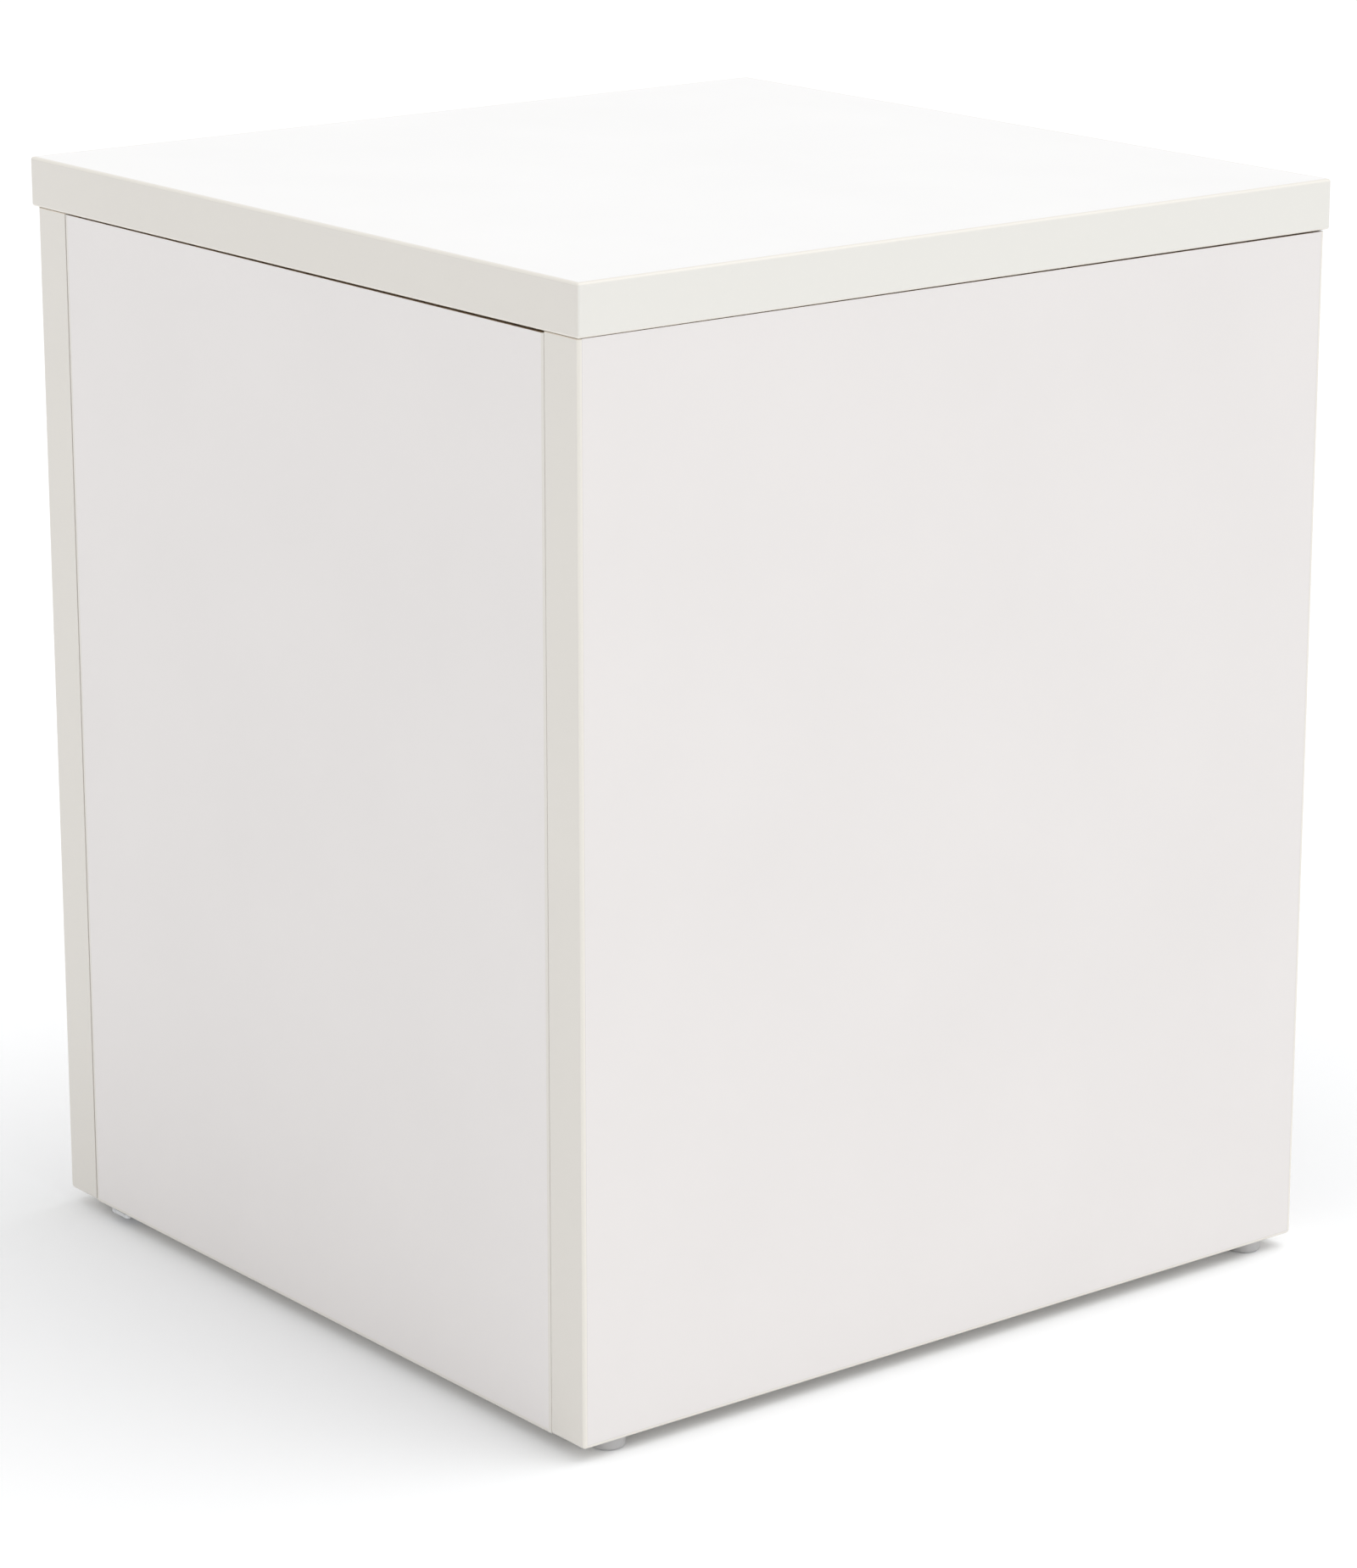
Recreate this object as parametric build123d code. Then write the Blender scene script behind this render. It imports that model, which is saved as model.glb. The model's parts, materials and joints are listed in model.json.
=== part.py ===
"""Compact refrigerator in a board casing.

A plain white furniture box (two side panels, a thick top and an inset, handleless door)
holds a foamed cold cell with its own compressor circuit.  Millimetres, +Z up, the front
faces -Y.  The origin is on the floor under the middle of the top panel.
"""
import os
from math import cos, pi, sin

from build123d import *

# ---------------------------------------------------------------- driving dimensions
slab_width = 456.0
slab_depth = 464.0
board = 25.0                # thickness of the top and side panels
band = 2.0                  # thickness of the edge banding
body_width = 450.0
body_depth = 460.0
body_height = 525.0
foot_height = 7.0
foot_radius = 8.5
overhang_left = 5.5
overhang_front = 0.5
side_top_fall = 0.6         # the side panels' top edges drop this much towards the back
outer_edge = 1.5            # rounding of the casing's trimmed bands
low_edge = 2.2
inner_edge = 0.3
base_board = 18.0

cam_radius = 7.4            # disc fittings, their bolts, and the dowels beside them
cam_length = 12.6
cam_inset = 34.0            # from the joint to the disc's centre
cam_bore = 7.6
bolt_radius = 2.5
bolt_head = 3.4
bolt_bore = 3.6
dowel_radius = 4.0
dowel_bore = 4.05
nail_radius = 1.2
screw_radius = 1.4
screw_head = 2.0

door_board = 18.0
gap_hinge = 0.5
gap_free = 0.3
free_bevel = 0.5            # the free edge leans back so that its rear corner clears the side panel
gap_top_hinge = 0.4         # the door hangs a little low at its free side
gap_top_free = 1.0
pivot_from_left = 14.0      # the pivot's place in the door
pivot_from_front = 3.5
hinge_corner = 0.8          # rounding of the door's front left corner, as it passes the side panel
free_corner = 0.4
pin_radius = 1.5
pin_play = 0.05
bush_radius = 2.4
pin_reach = 12.0
pan_depth = 28.0            # foamed inner door
gasket_depth = 8.0
gasket_width = 14.0
seal_gap = 0.3
skin = 2.0                  # moulded door liner

wall = 35.0                 # insulation of the cold cell
steel = 0.8                 # cell's outer sheet
liner = 1.5                 # cell's inner lining
cell_clearance = 2.0
cell_depth = 357.0
step_height = 170.0         # compressor niche under the cell's rear
step_depth = 120.0

post_front = 45.5           # how far the bin posts stand out from the inner door
bin_depth = 72.0
bin_wall = 2.5
lower_bin_height = 66.0
upper_bin_height = 52.0
lug_offsets = (14.0, 34.0)  # of the bins' lugs, behind the inner door

stud_radius = 3.0           # compressor bolts
stud_hole = 3.1
tube_radius = 2.4
wire_radius = 0.8
suction_radius = 3.0
capillary_radius = 1.2
wire_pitch = 12.0
condenser_pitch = 26.0
condenser_runs = 10

# ---------------------------------------------------------------- derived places
left = -slab_width / 2 + overhang_left
right = left + body_width
front = -slab_depth / 2 + overhang_front
back = front + body_depth
base = foot_height
body_top = base + body_height
top = body_top + board
in_left = left + board
in_right = right - board
middle = (left + right) / 2
floor_top = base + base_board

door_left = in_left + gap_hinge
door_right = in_right - gap_free
door_back = front + door_board
base_front = door_back + 6.2        # clear of the door's rear left corner as it turns
pivot_x = door_left + pivot_from_left
pivot_y = front + pivot_from_front
hinge_plate_front = base_front + 2.0
pan_left = door_left + 10.0
pan_right = door_right - 6.0
pan_bottom = floor_top + 2.0
pan_top = body_top - 3.0
pan_back = door_back + pan_depth

cell_front = pan_back + gasket_depth + seal_gap
cell_back = cell_front + cell_depth
cell_left = in_left + cell_clearance
cell_right = in_right - cell_clearance
cell_top = body_top - cell_clearance
step_top = floor_top + step_height
step_front = cell_back - step_depth
room_left = cell_left + wall
room_right = cell_right - wall
room_floor = floor_top + wall
room_top = cell_top - wall
room_back = cell_back - wall
ledge_top = step_top + wall
ledge_front = step_front - wall

ice_left = room_left + 18.5
ice_right = ice_left + 220.0
ice_front = -92.0
ice_back = 112.0
ice_top = room_top - 8.0
ice_bottom = ice_top - 92.0
ice_sheet = 1.6
pipe_level = ice_top - 30.0
suction_x = -40.0
capillary_x = -26.0
flap_y = ice_front - 6.0
flap_z = ice_top - 4.0

shelf_front = -80.0
shelf_back = room_back - 6.0
upper_shelf_z = 328.0
lower_shelf_z = ledge_top + 8.6

box_left = ice_right + 14.0     # thermostat and lamp housing
box_right = room_right - 9.0
box_front = ice_front - 2.0
box_back = 56.0
box_bottom = room_top - 62.0
knob_x = (box_left + box_right) / 2
knob_z = box_bottom + 30.0

condenser_y = cell_back + 26.0
condenser_top = cell_top - 46.0
condenser_left = cell_left + 32.0
condenser_right = cell_right - 38.0

motor_x = middle + 30.0
motor_y = 138.0
plate_top = floor_top + 2.0
motor_foot_z = plate_top + 8.0
motor_radius = 56.0
motor_bottom = motor_foot_z + 2.0
motor_top = motor_bottom + 122.0

switch_x = room_right - 20.0
switch_z = room_top + 7.0
lamp_front = -20.0              # opening for the lamp's cover
lamp_back = 40.0
lamp_x = (box_left + box_right) / 2
lamp_z = box_bottom + 22.0

riser_x = condenser_right + 22.0
riser_foot = 150.0
drier_top = 176.0
inlet_x = in_left + 46.0
inlet_y = back - band - 8.0
inlet_z = plate_top + 34.0


# ---------------------------------------------------------------- shape helpers
def block(x0, x1, y0, y1, z0, z1):
    """Box between two corners."""
    return Pos((x0 + x1) / 2, (y0 + y1) / 2, (z0 + z1) / 2) * Box(x1 - x0, y1 - y0, z1 - z0)


def rod(start, end, radius):
    """Cylinder from one point to another."""
    run = Vector(*end) - Vector(*start)
    seat = Plane(origin=start, z_dir=run)
    return seat * Cylinder(radius, run.length, align=(Align.CENTER, Align.CENTER, Align.MIN))


def prism_x(outline, x0, x1):
    """Extrude a (y, z) outline along X."""
    face = Plane.YZ * make_face(Polyline(*outline, close=True))
    return Pos(x0, 0, 0) * extrude(face, x1 - x0)


def prism_y(outline, y0, y1):
    """Extrude an (x, z) outline along +Y."""
    face = Plane(origin=(0, y0, 0), x_dir=(1, 0, 0), z_dir=(0, -1, 0)) * make_face(
        Polyline(*outline, close=True))
    return extrude(face, -(y1 - y0))


def pipe(points, radii, radius):
    """Round pipe along straight runs joined by tangent arcs."""
    path = FilletPolyline(*points, radius=radii)
    start = Vector(*points[0])
    run = Vector(*points[1]) - start
    section = Plane(origin=start, z_dir=run) * Circle(radius)
    return sweep(section, path=path)


def soften(shape, radius, choose):
    """Round the edges whose centre and direction pass the test."""
    picked = [e for e in shape.edges() if choose(e.center(), e.tangent_at(0.5))]
    return fillet(picked, radius)


def along(direction, axis):
    return abs(getattr(direction, axis)) > 0.99


def near(value, target):
    return abs(value - target) < 0.01


def group(solids):
    """Several separate solids that share one node."""
    flat = []
    for item in solids:
        flat.extend(item.solids())
    return Compound(children=flat)


def dish(x0, x1, y0, y1, z0, z1, thickness, corner):
    """Open-topped tray with rounded upright corners."""
    outer = soften(block(x0, x1, y0, y1, z0, z1), corner, lambda c, d: along(d, "Z"))
    inner = block(x0 + thickness, x1 - thickness, y0 + thickness, y1 - thickness,
                  z0 + thickness, z1 + 1)
    inner = soften(inner, max(corner - thickness, 0.5), lambda c, d: along(d, "Z"))
    return outer - inner


# ---------------------------------------------------------------- casing
def split_bands(solid, inner):
    """Cut a softened board into its core and its edge bands."""
    return solid & inner, solid - inner


def make_top():
    solid = block(-slab_width / 2, slab_width / 2, -slab_depth / 2, slab_depth / 2, body_top, top)
    solid = soften(solid, outer_edge, lambda c, d: True)
    inner = block(-slab_width / 2 + band, slab_width / 2 - band,
                  -slab_depth / 2 + band, slab_depth / 2 - band, body_top - 1, top + 1)
    core, ring = split_bands(solid, inner)
    pocket = hinge_plate_outline(body_top, body_top + 2.2, 0.2)
    core = core - pocket
    for x in (left + board / 2, right - board / 2):
        for y in cam_stations():
            core = core - rod((x, y, body_top - 1), (x, y, body_top + 12.5), bolt_bore)
        for y in dowel_stations():
            core = core - rod((x, y, body_top - 1), (x, y, body_top + 12.2), dowel_bore)
    for x, y in upper_screw_places():
        core = core - rod((x, y, body_top - 1), (x, y, body_top + 14.5), screw_radius + 0.05)
    reach_x = slab_width / 2 - band
    strips = []
    for side in (-1, 1):
        end = block(-slab_width, slab_width, min(side * (slab_depth / 2 - band), side * slab_depth),
                    max(side * (slab_depth / 2 - band), side * slab_depth), 0, top + 50)
        strips.append(ring & end)
        flank = block(min(side * reach_x, side * slab_width), max(side * reach_x, side * slab_width),
                      -slab_depth / 2 + band, slab_depth / 2 - band, 0, top + 50)
        strips.append(ring & flank)
    return core, group(strips)


def cam_stations():
    return (front + 70.0, back - 70.0)


def dowel_stations():
    return (front + 120.0, back - 120.0)


def cut_for_fittings(panel, inner_face, outward):
    """Bores for the cams, cam bolts and dowels that join a side panel to the top panel."""
    centre_x = inner_face + outward * board / 2
    for y in cam_stations():
        cam_z = body_top - cam_inset
        panel = panel - rod((inner_face - outward, y, cam_z),
                            (inner_face + outward * 13.2, y, cam_z), cam_bore)
        panel = panel - rod((centre_x, y, body_top + 1), (centre_x, y, cam_z - 2.2), bolt_bore)
    for y in dowel_stations():
        panel = panel - rod((centre_x, y, body_top + 1), (centre_x, y, body_top - 18.2), dowel_bore)
    return panel


def make_side(x_outer, outward):
    """Side panel with banded front, back and bottom edges."""
    x_inner = x_outer - outward * board
    x0, x1 = min(x_outer, x_inner), max(x_outer, x_inner)
    outline = [(front, base), (back, base), (back, body_top - side_top_fall), (front, body_top)]
    solid = prism_x(outline, x0, x1)
    solid = soften(solid, outer_edge, lambda c, d: near(c.X, x_outer) and along(d, "Z"))
    solid = soften(solid, low_edge, lambda c, d: near(c.Z, base) and near(c.X, x_outer))
    solid = soften(solid, inner_edge, lambda c, d: near(c.X, x_inner) and (along(d, "Z") or near(c.Z, base)))
    inner = block(x0 - 1, x1 + 1, front + band, back - band, base + band, body_top + 1)
    core, edge = split_bands(solid, inner)
    front_strip = edge & block(x0 - 1, x1 + 1, front - 1, front + band, 0, top)
    rear_strip = edge & block(x0 - 1, x1 + 1, back - band, back + 1, 0, top)
    low_strip = edge & block(x0 - 1, x1 + 1, front + band, back - band, 0, base + band)
    core = cut_for_fittings(core, x_inner, outward)
    centre_z = base + base_board / 2
    for y in cam_stations():
        bolt_end = (x_inner + outward * 12, y, centre_z)
        core = core - rod((x_inner - outward, y, centre_z), bolt_end, bolt_radius + 0.1)
    for y in dowel_stations():
        peg_end = (x_inner + outward * 15.2, y, centre_z)
        core = core - rod((x_inner - outward, y, centre_z), peg_end, dowel_bore)
    nail_x = x_outer - outward * board / 2
    for y in foot_stations():
        nail_hole = rod((nail_x, y, base - 1), (nail_x, y, base + 14.2), nail_radius + 0.1)
        low_strip = low_strip - nail_hole
        core = core - nail_hole
    return core, [front_strip, rear_strip, low_strip]


def make_base():
    panel = block(in_left, in_right, base_front, back - band, base, floor_top)
    centre_z = base + base_board / 2
    for x_inner, inward in ((in_left, 1), (in_right, -1)):
        for y in cam_stations():
            cam_x = x_inner + inward * cam_inset
            panel = panel - rod((cam_x, y, base - 1), (cam_x, y, base + 13.2), cam_bore)
            panel = panel - rod((x_inner - inward, y, centre_z), (cam_x, y, centre_z), bolt_bore)
        for y in dowel_stations():
            peg_end = (x_inner + inward * 15.2, y, centre_z)
            panel = panel - rod((x_inner - inward, y, centre_z), peg_end, dowel_bore)
    for x, y in lower_screw_places():
        panel = panel - rod((x, y, base - 1), (x, y, base + 12.2), screw_radius + 0.15)
    for x, y in motor_feet():
        panel = panel - rod((x, y, floor_top - 10.2), (x, y, floor_top + 1), stud_radius + 0.05)
    return panel


def make_rear_rail():
    rail = block(in_left, in_right, back - band - 16.0, back - band, body_top - side_top_fall - 34.0,
                 body_top - side_top_fall)
    return soften(rail, 1.0, lambda c, d: along(d, "X"))


def cam(centre, axis):
    """Cam disc with a round driver's mouth in its face."""
    cx, cy, cz = centre
    ax, ay, az = axis
    far = (cx + ax * cam_length, cy + ay * cam_length, cz + az * cam_length)
    disc = rod((cx, cy, cz), far, cam_radius)
    mouth = rod((cx - ax, cy - ay, cz - az), (cx + ax * 2.4, cy + ay * 2.4, cz + az * 2.4), 2.6)
    return disc - mouth


def make_cams():
    """Eight cam discs and the bolts that they pull on."""
    discs = []
    bolts = []
    for x_inner, outward in ((in_left, -1), (in_right, 1)):
        centre_x = x_inner + outward * board / 2
        for y in cam_stations():
            cam_z = body_top - cam_inset
            window = rod((centre_x, y, cam_z), (centre_x, y, cam_z + 9), bolt_head + 0.3)
            core = rod((centre_x, y, cam_z - 4), (centre_x, y, cam_z + 5), bolt_head + 1)
            discs.append(cam((x_inner, y, cam_z), (outward, 0, 0)) - window - core)
            shaft = rod((centre_x, y, cam_z + 3), (centre_x, y, body_top + 12), bolt_radius)
            head = rod((centre_x, y, cam_z - 2), (centre_x, y, cam_z + 3), bolt_head)
            bolts.append(shaft + head)
            centre_z = base + base_board / 2
            cam_x = x_inner - outward * cam_inset
            neck = (cam_x + outward * 3, y, centre_z)
            window = rod((cam_x, y, centre_z), (cam_x + outward * 9, y, centre_z), bolt_head + 0.3)
            core = rod((cam_x - outward * 4, y, centre_z), (cam_x + outward * 5, y, centre_z), bolt_head + 1)
            discs.append(cam((cam_x, y, base), (0, 0, 1)) - window - core)
            shaft = rod(neck, (x_inner + outward * 11.8, y, centre_z), bolt_radius)
            head = rod((cam_x - outward * 2, y, centre_z), neck, bolt_head)
            bolts.append(shaft + head)
    return group(discs), group(bolts)


def make_dowels():
    pegs = []
    for x_inner, outward in ((in_left, -1), (in_right, 1)):
        for y in dowel_stations():
            x = x_inner + outward * board / 2
            pegs.append(rod((x, y, body_top - 18), (x, y, body_top + 12), dowel_radius))
            z = base + base_board / 2
            pegs.append(rod((x_inner - outward * 15, y, z), (x_inner + outward * 15, y, z), dowel_radius))
    return group([chamfer(p.edges(), 0.8) for p in pegs])


def foot_stations():
    return (front + 23.5, back - 21.0)


def make_feet():
    """Nail-on glides under the side panels."""
    glides = []
    nails = []
    for x in (left + board / 2, right - board / 2):
        for y in foot_stations():
            pad = rod((x, y, 0), (x, y, foot_height), foot_radius)
            pad = soften(pad, 1.8, lambda c, d: near(c.Z, 0))
            pad = pad - rod((x, y, -1), (x, y, 2.4), 3.2)
            glides.append(pad - rod((x, y, 0), (x, y, foot_height + 1), nail_radius + 0.1))
            nail_head = rod((x, y, 2.4), (x, y, 0.9), 3.0)
            nails.append(nail_head + rod((x, y, 2.0), (x, y, base + 14), nail_radius))
    return group(glides), group(nails)


# ---------------------------------------------------------------- hinges
def hinge_plate_outline(z0, z1, play):
    """Flat leaf that carries a door pivot: a strip along the door with a round nose."""
    leaf = block(pivot_x - 2.0 - play, pivot_x + 46 + play, pivot_y - 2.0 - play, pivot_y + 12 + play,
                 z0, z1)
    return soften(leaf, 1.2, lambda c, d: along(d, "Z"))


def upper_screw_places():
    return [(pivot_x + 18, pivot_y + 5.2), (pivot_x + 36, pivot_y + 5.2)]


def lower_screw_places():
    row = hinge_plate_front + 9.0
    return [(pivot_x + 8, row), (pivot_x + 8, row + 16.0), (pivot_x + 30, row)]


def make_upper_hinge():
    """Leaf let into the top panel's underside, with the pivot pin riveted in."""
    plate = hinge_plate_outline(body_top, body_top + 2.0, 0.0)
    for x, y in upper_screw_places():
        plate = plate - rod((x, y, body_top - 1), (x, y, body_top + 3), screw_head)
    pin_tip = body_top - gap_top_hinge - pin_reach
    return plate + rod((pivot_x, pivot_y, pin_tip), (pivot_x, pivot_y, body_top + 2.0), pin_radius)


def make_lower_hinge():
    """Joggled plate under the base panel, its nose below the door's corner, with pin and thrust ring."""
    under_base = block(pivot_x - 2.0, pivot_x + 44, hinge_plate_front, hinge_plate_front + 34,
                       base - 2.0, base)
    nose = block(pivot_x - 2.4, pivot_x + 14, pivot_y - 2.4, hinge_plate_front + 4, base - 2.5, base - 0.5)
    nose = soften(nose, 2.2, lambda c, d: along(d, "Z") and c.Y < pivot_y)
    plate = under_base + nose
    for x, y in lower_screw_places():
        plate = plate - rod((x, y, base - 4), (x, y, base + 1), screw_head)
    thrust_ring = rod((pivot_x, pivot_y, base - 0.6), (pivot_x, pivot_y, base - 0.05), 2.3)
    pin = rod((pivot_x, pivot_y, base - 2.5), (pivot_x, pivot_y, base + pin_reach), pin_radius)
    return plate + thrust_ring + pin


def flat_screw(x, y, z, up, length):
    """Countersunk screw whose head lies at z and whose shank points up or down."""
    tip = z + up * length
    head = rod((x, y, z), (x, y, z + up * 1.2), screw_head)
    return head + rod((x, y, z), (x, y, tip), screw_radius)


def make_hinge_screws():
    screws = [flat_screw(x, y, body_top + 0.3, 1, 14) for x, y in upper_screw_places()]
    screws += [flat_screw(x, y, base - 1.8, 1, 13.5) for x, y in lower_screw_places()]
    return group(screws)


def make_bushes():
    door_top = door_top_at(pivot_x)
    sleeves = []
    for z0, z1 in ((base, base + pin_reach + 2), (door_top - pin_reach - 2, door_top - 0.05)):
        sleeve = rod((pivot_x, pivot_y, z0), (pivot_x, pivot_y, z1), bush_radius)
        sleeves.append(sleeve - rod((pivot_x, pivot_y, z0 - 1), (pivot_x, pivot_y, z1 + 1),
                                    pin_radius + pin_play))
    return group(sleeves)


# ---------------------------------------------------------------- door
def door_top_at(x):
    share = (x - door_left) / (door_right - door_left)
    return body_top - gap_top_hinge - share * (gap_top_free - gap_top_hinge)


def make_door_board():
    """Door board, banded at its sides and bottom; its top edge, under the top panel, is bare."""
    outline = [(door_left, base), (door_right, base), (door_right, door_top_at(door_right)),
               (door_left, door_top_at(door_left))]
    solid = prism_y(outline, front, door_back)
    wedge = [(door_right, front), (door_right, door_back), (door_right - free_bevel, door_back)]
    solid = solid - extrude(make_face(Polyline(*wedge, close=True)), top)
    solid = soften(solid, hinge_corner, lambda c, d: near(c.X, door_left) and near(c.Y, front))
    solid = soften(solid, free_corner, lambda c, d: c.X > door_right - band and along(d, "Z"))
    solid = soften(solid, 1.0, lambda c, d: near(c.Z, base) and near(c.Y, front) and along(d, "X"))
    inner = block(door_left + band, door_right - band, front - 1, door_back + 1, base + band, top)
    core, edge = split_bands(solid, inner)
    strips = [
        edge & block(door_left - 1, door_left + band, front - 1, door_back + 1, 0, top),
        edge & block(door_right - band, door_right + 1, front - 1, door_back + 1, 0, top),
        edge & block(door_left + band, door_right - band, front - 1, door_back + 1, 0, base + band),
    ]
    for z0, z1 in ((base - 1, base + pin_reach + 2.1), (door_top_at(pivot_x) - pin_reach - 2.1, top)):
        bore = rod((pivot_x, pivot_y, z0), (pivot_x, pivot_y, z1), bush_radius + 0.02)
        core = core - bore
        strips = [strip - bore for strip in strips]
    return core, group(strips)


def lug_places():
    return [pan_back + offset for offset in lug_offsets]


def post_spans():
    return ((room_left + 3.5, room_left + 12.5), (room_right - 22.5, room_right - 13.5))


def make_door_inner():
    """Foam core and moulded liner of the door, with two posts that carry the bins."""
    post_y = pan_back + post_front
    outer = block(pan_left, pan_right, door_back, pan_back, pan_bottom, pan_top)
    outer = soften(outer, 6.0, lambda c, d: near(c.Y, pan_back))
    inner = block(pan_left + skin, pan_right - skin, door_back, pan_back - skin, pan_bottom + skin,
                  pan_top - skin)
    for x0, x1 in post_spans():
        post = block(x0, x1, pan_back - 4, post_y, room_floor + 12, room_top - 14)
        post = soften(post, 2.0, lambda c, d: near(c.Y, post_y) or (along(d, "X") and c.Y > pan_back))
        outer = outer + post
        inner = inner + block(x0 + skin, x1 - skin, pan_back - 4, post_y - skin,
                              room_floor + 12 + skin, room_top - 14 - skin)
    shell = outer - inner
    spans = post_spans()
    for level in bin_levels():
        for y in lug_places():
            for x0, x1 in ((spans[0][1] - 0.5, spans[0][1] + 3.2), (spans[1][0] - 3.2, spans[1][0] + 0.5)):
                shell = shell + block(x0, x1, y - 2.2, y + 2.2, level + 16, level + 30)
    return inner, shell


def make_gasket():
    """Magnetic door seal: a soft frame with a hollow bellows behind a flat lip."""
    x0, x1 = pan_left + 3.5, pan_right - 3.5
    z0, z1 = pan_bottom + 3.5, pan_top - 3.5
    w = gasket_width
    y0, y1 = pan_back, pan_back + gasket_depth

    def ring(inset_out, inset_in, ya, yb):
        return (block(x0 + inset_out, x1 - inset_out, ya, yb, z0 + inset_out, z1 - inset_out)
                - block(x0 + inset_in, x1 - inset_in, ya - 1, yb + 1, z0 + inset_in, z1 - inset_in))

    seal = ring(0, w, y0, y1)
    seal = seal - ring(-1, 1.8, y0 + 2.6, y0 + 4.4) - ring(w - 1.8, w + 1, y0 + 2.6, y0 + 4.4)
    return seal - ring(4.2, w - 4.2, y0 + 1.6, y0 + 5.2)


def bin_levels():
    return (room_floor + 22.0, 290.0)


def make_bin(level, height):
    """Door bin: an open tray hung over lugs by slots in its end walls."""
    spans = post_spans()
    x0, x1 = spans[0][1] + 0.6, spans[1][0] - 0.6
    y0, y1 = pan_back + 1.0, pan_back + bin_depth
    tray = block(x0, x1, y0, y1, level, level + height)
    tray = soften(tray, 5.0, lambda c, d: near(c.Y, y1) and along(d, "Z"))
    tray = soften(tray, 2.0, lambda c, d: near(c.Z, level))
    hollow = block(x0 + 4.0, x1 - 4.0, y0 + bin_wall, y1 - bin_wall, level + bin_wall, level + height + 1)
    hollow = soften(hollow, 3.0, lambda c, d: near(c.Y, y1 - bin_wall) and along(d, "Z"))
    tray = tray - hollow
    tray = tray - block(x0 + 12, x1 - 12, y1 - bin_wall - 1, y1 + 1, level + height - 18, level + height - 9)
    for y in lug_places():
        for xa, xb in ((x0 - 1, x0 + 3.0), (x1 - 3.0, x1 + 1)):
            tray = tray - block(xa, xb, y - 2.6, y + 2.6, level - 1, level + 30.3)
    return tray


# ---------------------------------------------------------------- cold cell
def cell_outline(inset, front_y):
    """Side outline of the cell, cut back over the compressor niche."""
    i = inset
    return [(front_y, floor_top + i), (step_front - i, floor_top + i), (step_front - i, step_top + i),
            (cell_back - i, step_top + i), (cell_back - i, cell_top - i), (front_y, cell_top - i)]


def room_outline(grow, front_y):
    g = grow
    return [(front_y, room_floor - g), (ledge_front + g, room_floor - g), (ledge_front + g, ledge_top - g),
            (room_back + g, ledge_top - g), (room_back + g, room_top + g), (front_y, room_top + g)]


def make_cell():
    """Outer steel wrap, foam and inner liner."""
    flange_y = cell_front + liner
    outer = prism_x(cell_outline(0, flange_y), cell_left, cell_right)
    core = prism_x(cell_outline(steel, flange_y), cell_left + steel, cell_right - steel)
    pocket = prism_x(room_outline(liner, cell_front - 1), room_left - liner, room_right + liner)
    room = prism_x(room_outline(0, cell_front - 1), room_left, room_right)
    room = soften(room, 8.0, lambda c, d: along(d, "Y") or near(c.Y, room_back))
    wrap = outer - core
    foam = core - pocket
    flange = block(cell_left, cell_right, cell_front, flange_y, floor_top, cell_top)
    lining = (flange + (pocket & block(-500, 500, flange_y, 500, 0, 600))) - room
    for z in (upper_shelf_z, lower_shelf_z):
        for x0, x1 in ((room_left - 0.5, room_left + 5), (room_right - 5, room_right + 0.5)):
            lining = lining + block(x0, x1, shelf_front - 30, room_back - 8, z - 5.6, z - 0.6)
    for x, radius in ((suction_x, suction_radius + 0.2), (capillary_x, capillary_radius + 0.2)):
        bore = rod((x, room_back - 12, pipe_level), (x, cell_back + 5, pipe_level), radius)
        wrap, foam, lining = wrap - bore, foam - bore, lining - bore
    bore = rod((middle, room_back - 30, step_top - 5), (middle, room_back - 30, ledge_top + 5), 6.1)
    wrap, foam, lining = wrap - bore, foam - bore, lining - bore
    bore = rod((switch_x, cell_front - 5, switch_z), (switch_x, cell_front + 26.2, switch_z), 5.1)
    return wrap, foam - bore, lining - bore


def make_switch():
    """Door switch: a flanged barrel in the cell's front and its plunger."""
    barrel = rod((switch_x, cell_front, switch_z), (switch_x, cell_front + 26, switch_z), 5.0)
    barrel = barrel + rod((switch_x, cell_front - 1.0, switch_z), (switch_x, cell_front, switch_z), 6.2)
    barrel = barrel - rod((switch_x, cell_front - 2, switch_z), (switch_x, cell_front + 22, switch_z), 2.56)
    tip = pan_back + 0.3
    plunger = rod((switch_x, tip, switch_z), (switch_x, cell_front + 14, switch_z), 2.5)
    plunger = soften(plunger, 1.2, lambda c, d: near(c.Y, tip))
    return barrel, plunger


def make_cell_brackets():
    """Angles that tie the cell to the base and to the rear rail."""
    angles = []
    for x in (cell_left + 40, cell_right - 40):
        foot = block(x - 12, x + 12, step_front, step_front + 18, floor_top, floor_top + 1.5)
        angles.append(foot + block(x - 12, x + 12, step_front, step_front + 1.5, floor_top, floor_top + 22))
        rail_y = back - band - 16.0
        tie = block(x - 10, x + 10, cell_back, rail_y, cell_top - 16, cell_top - 14.5)
        tie = tie + block(x - 10, x + 10, cell_back, cell_back + 1.5, cell_top - 30, cell_top - 14.5)
        angles.append(tie + block(x - 10, x + 10, rail_y - 1.5, rail_y, cell_top - 30, cell_top - 14.5))
    return group(angles)


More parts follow.
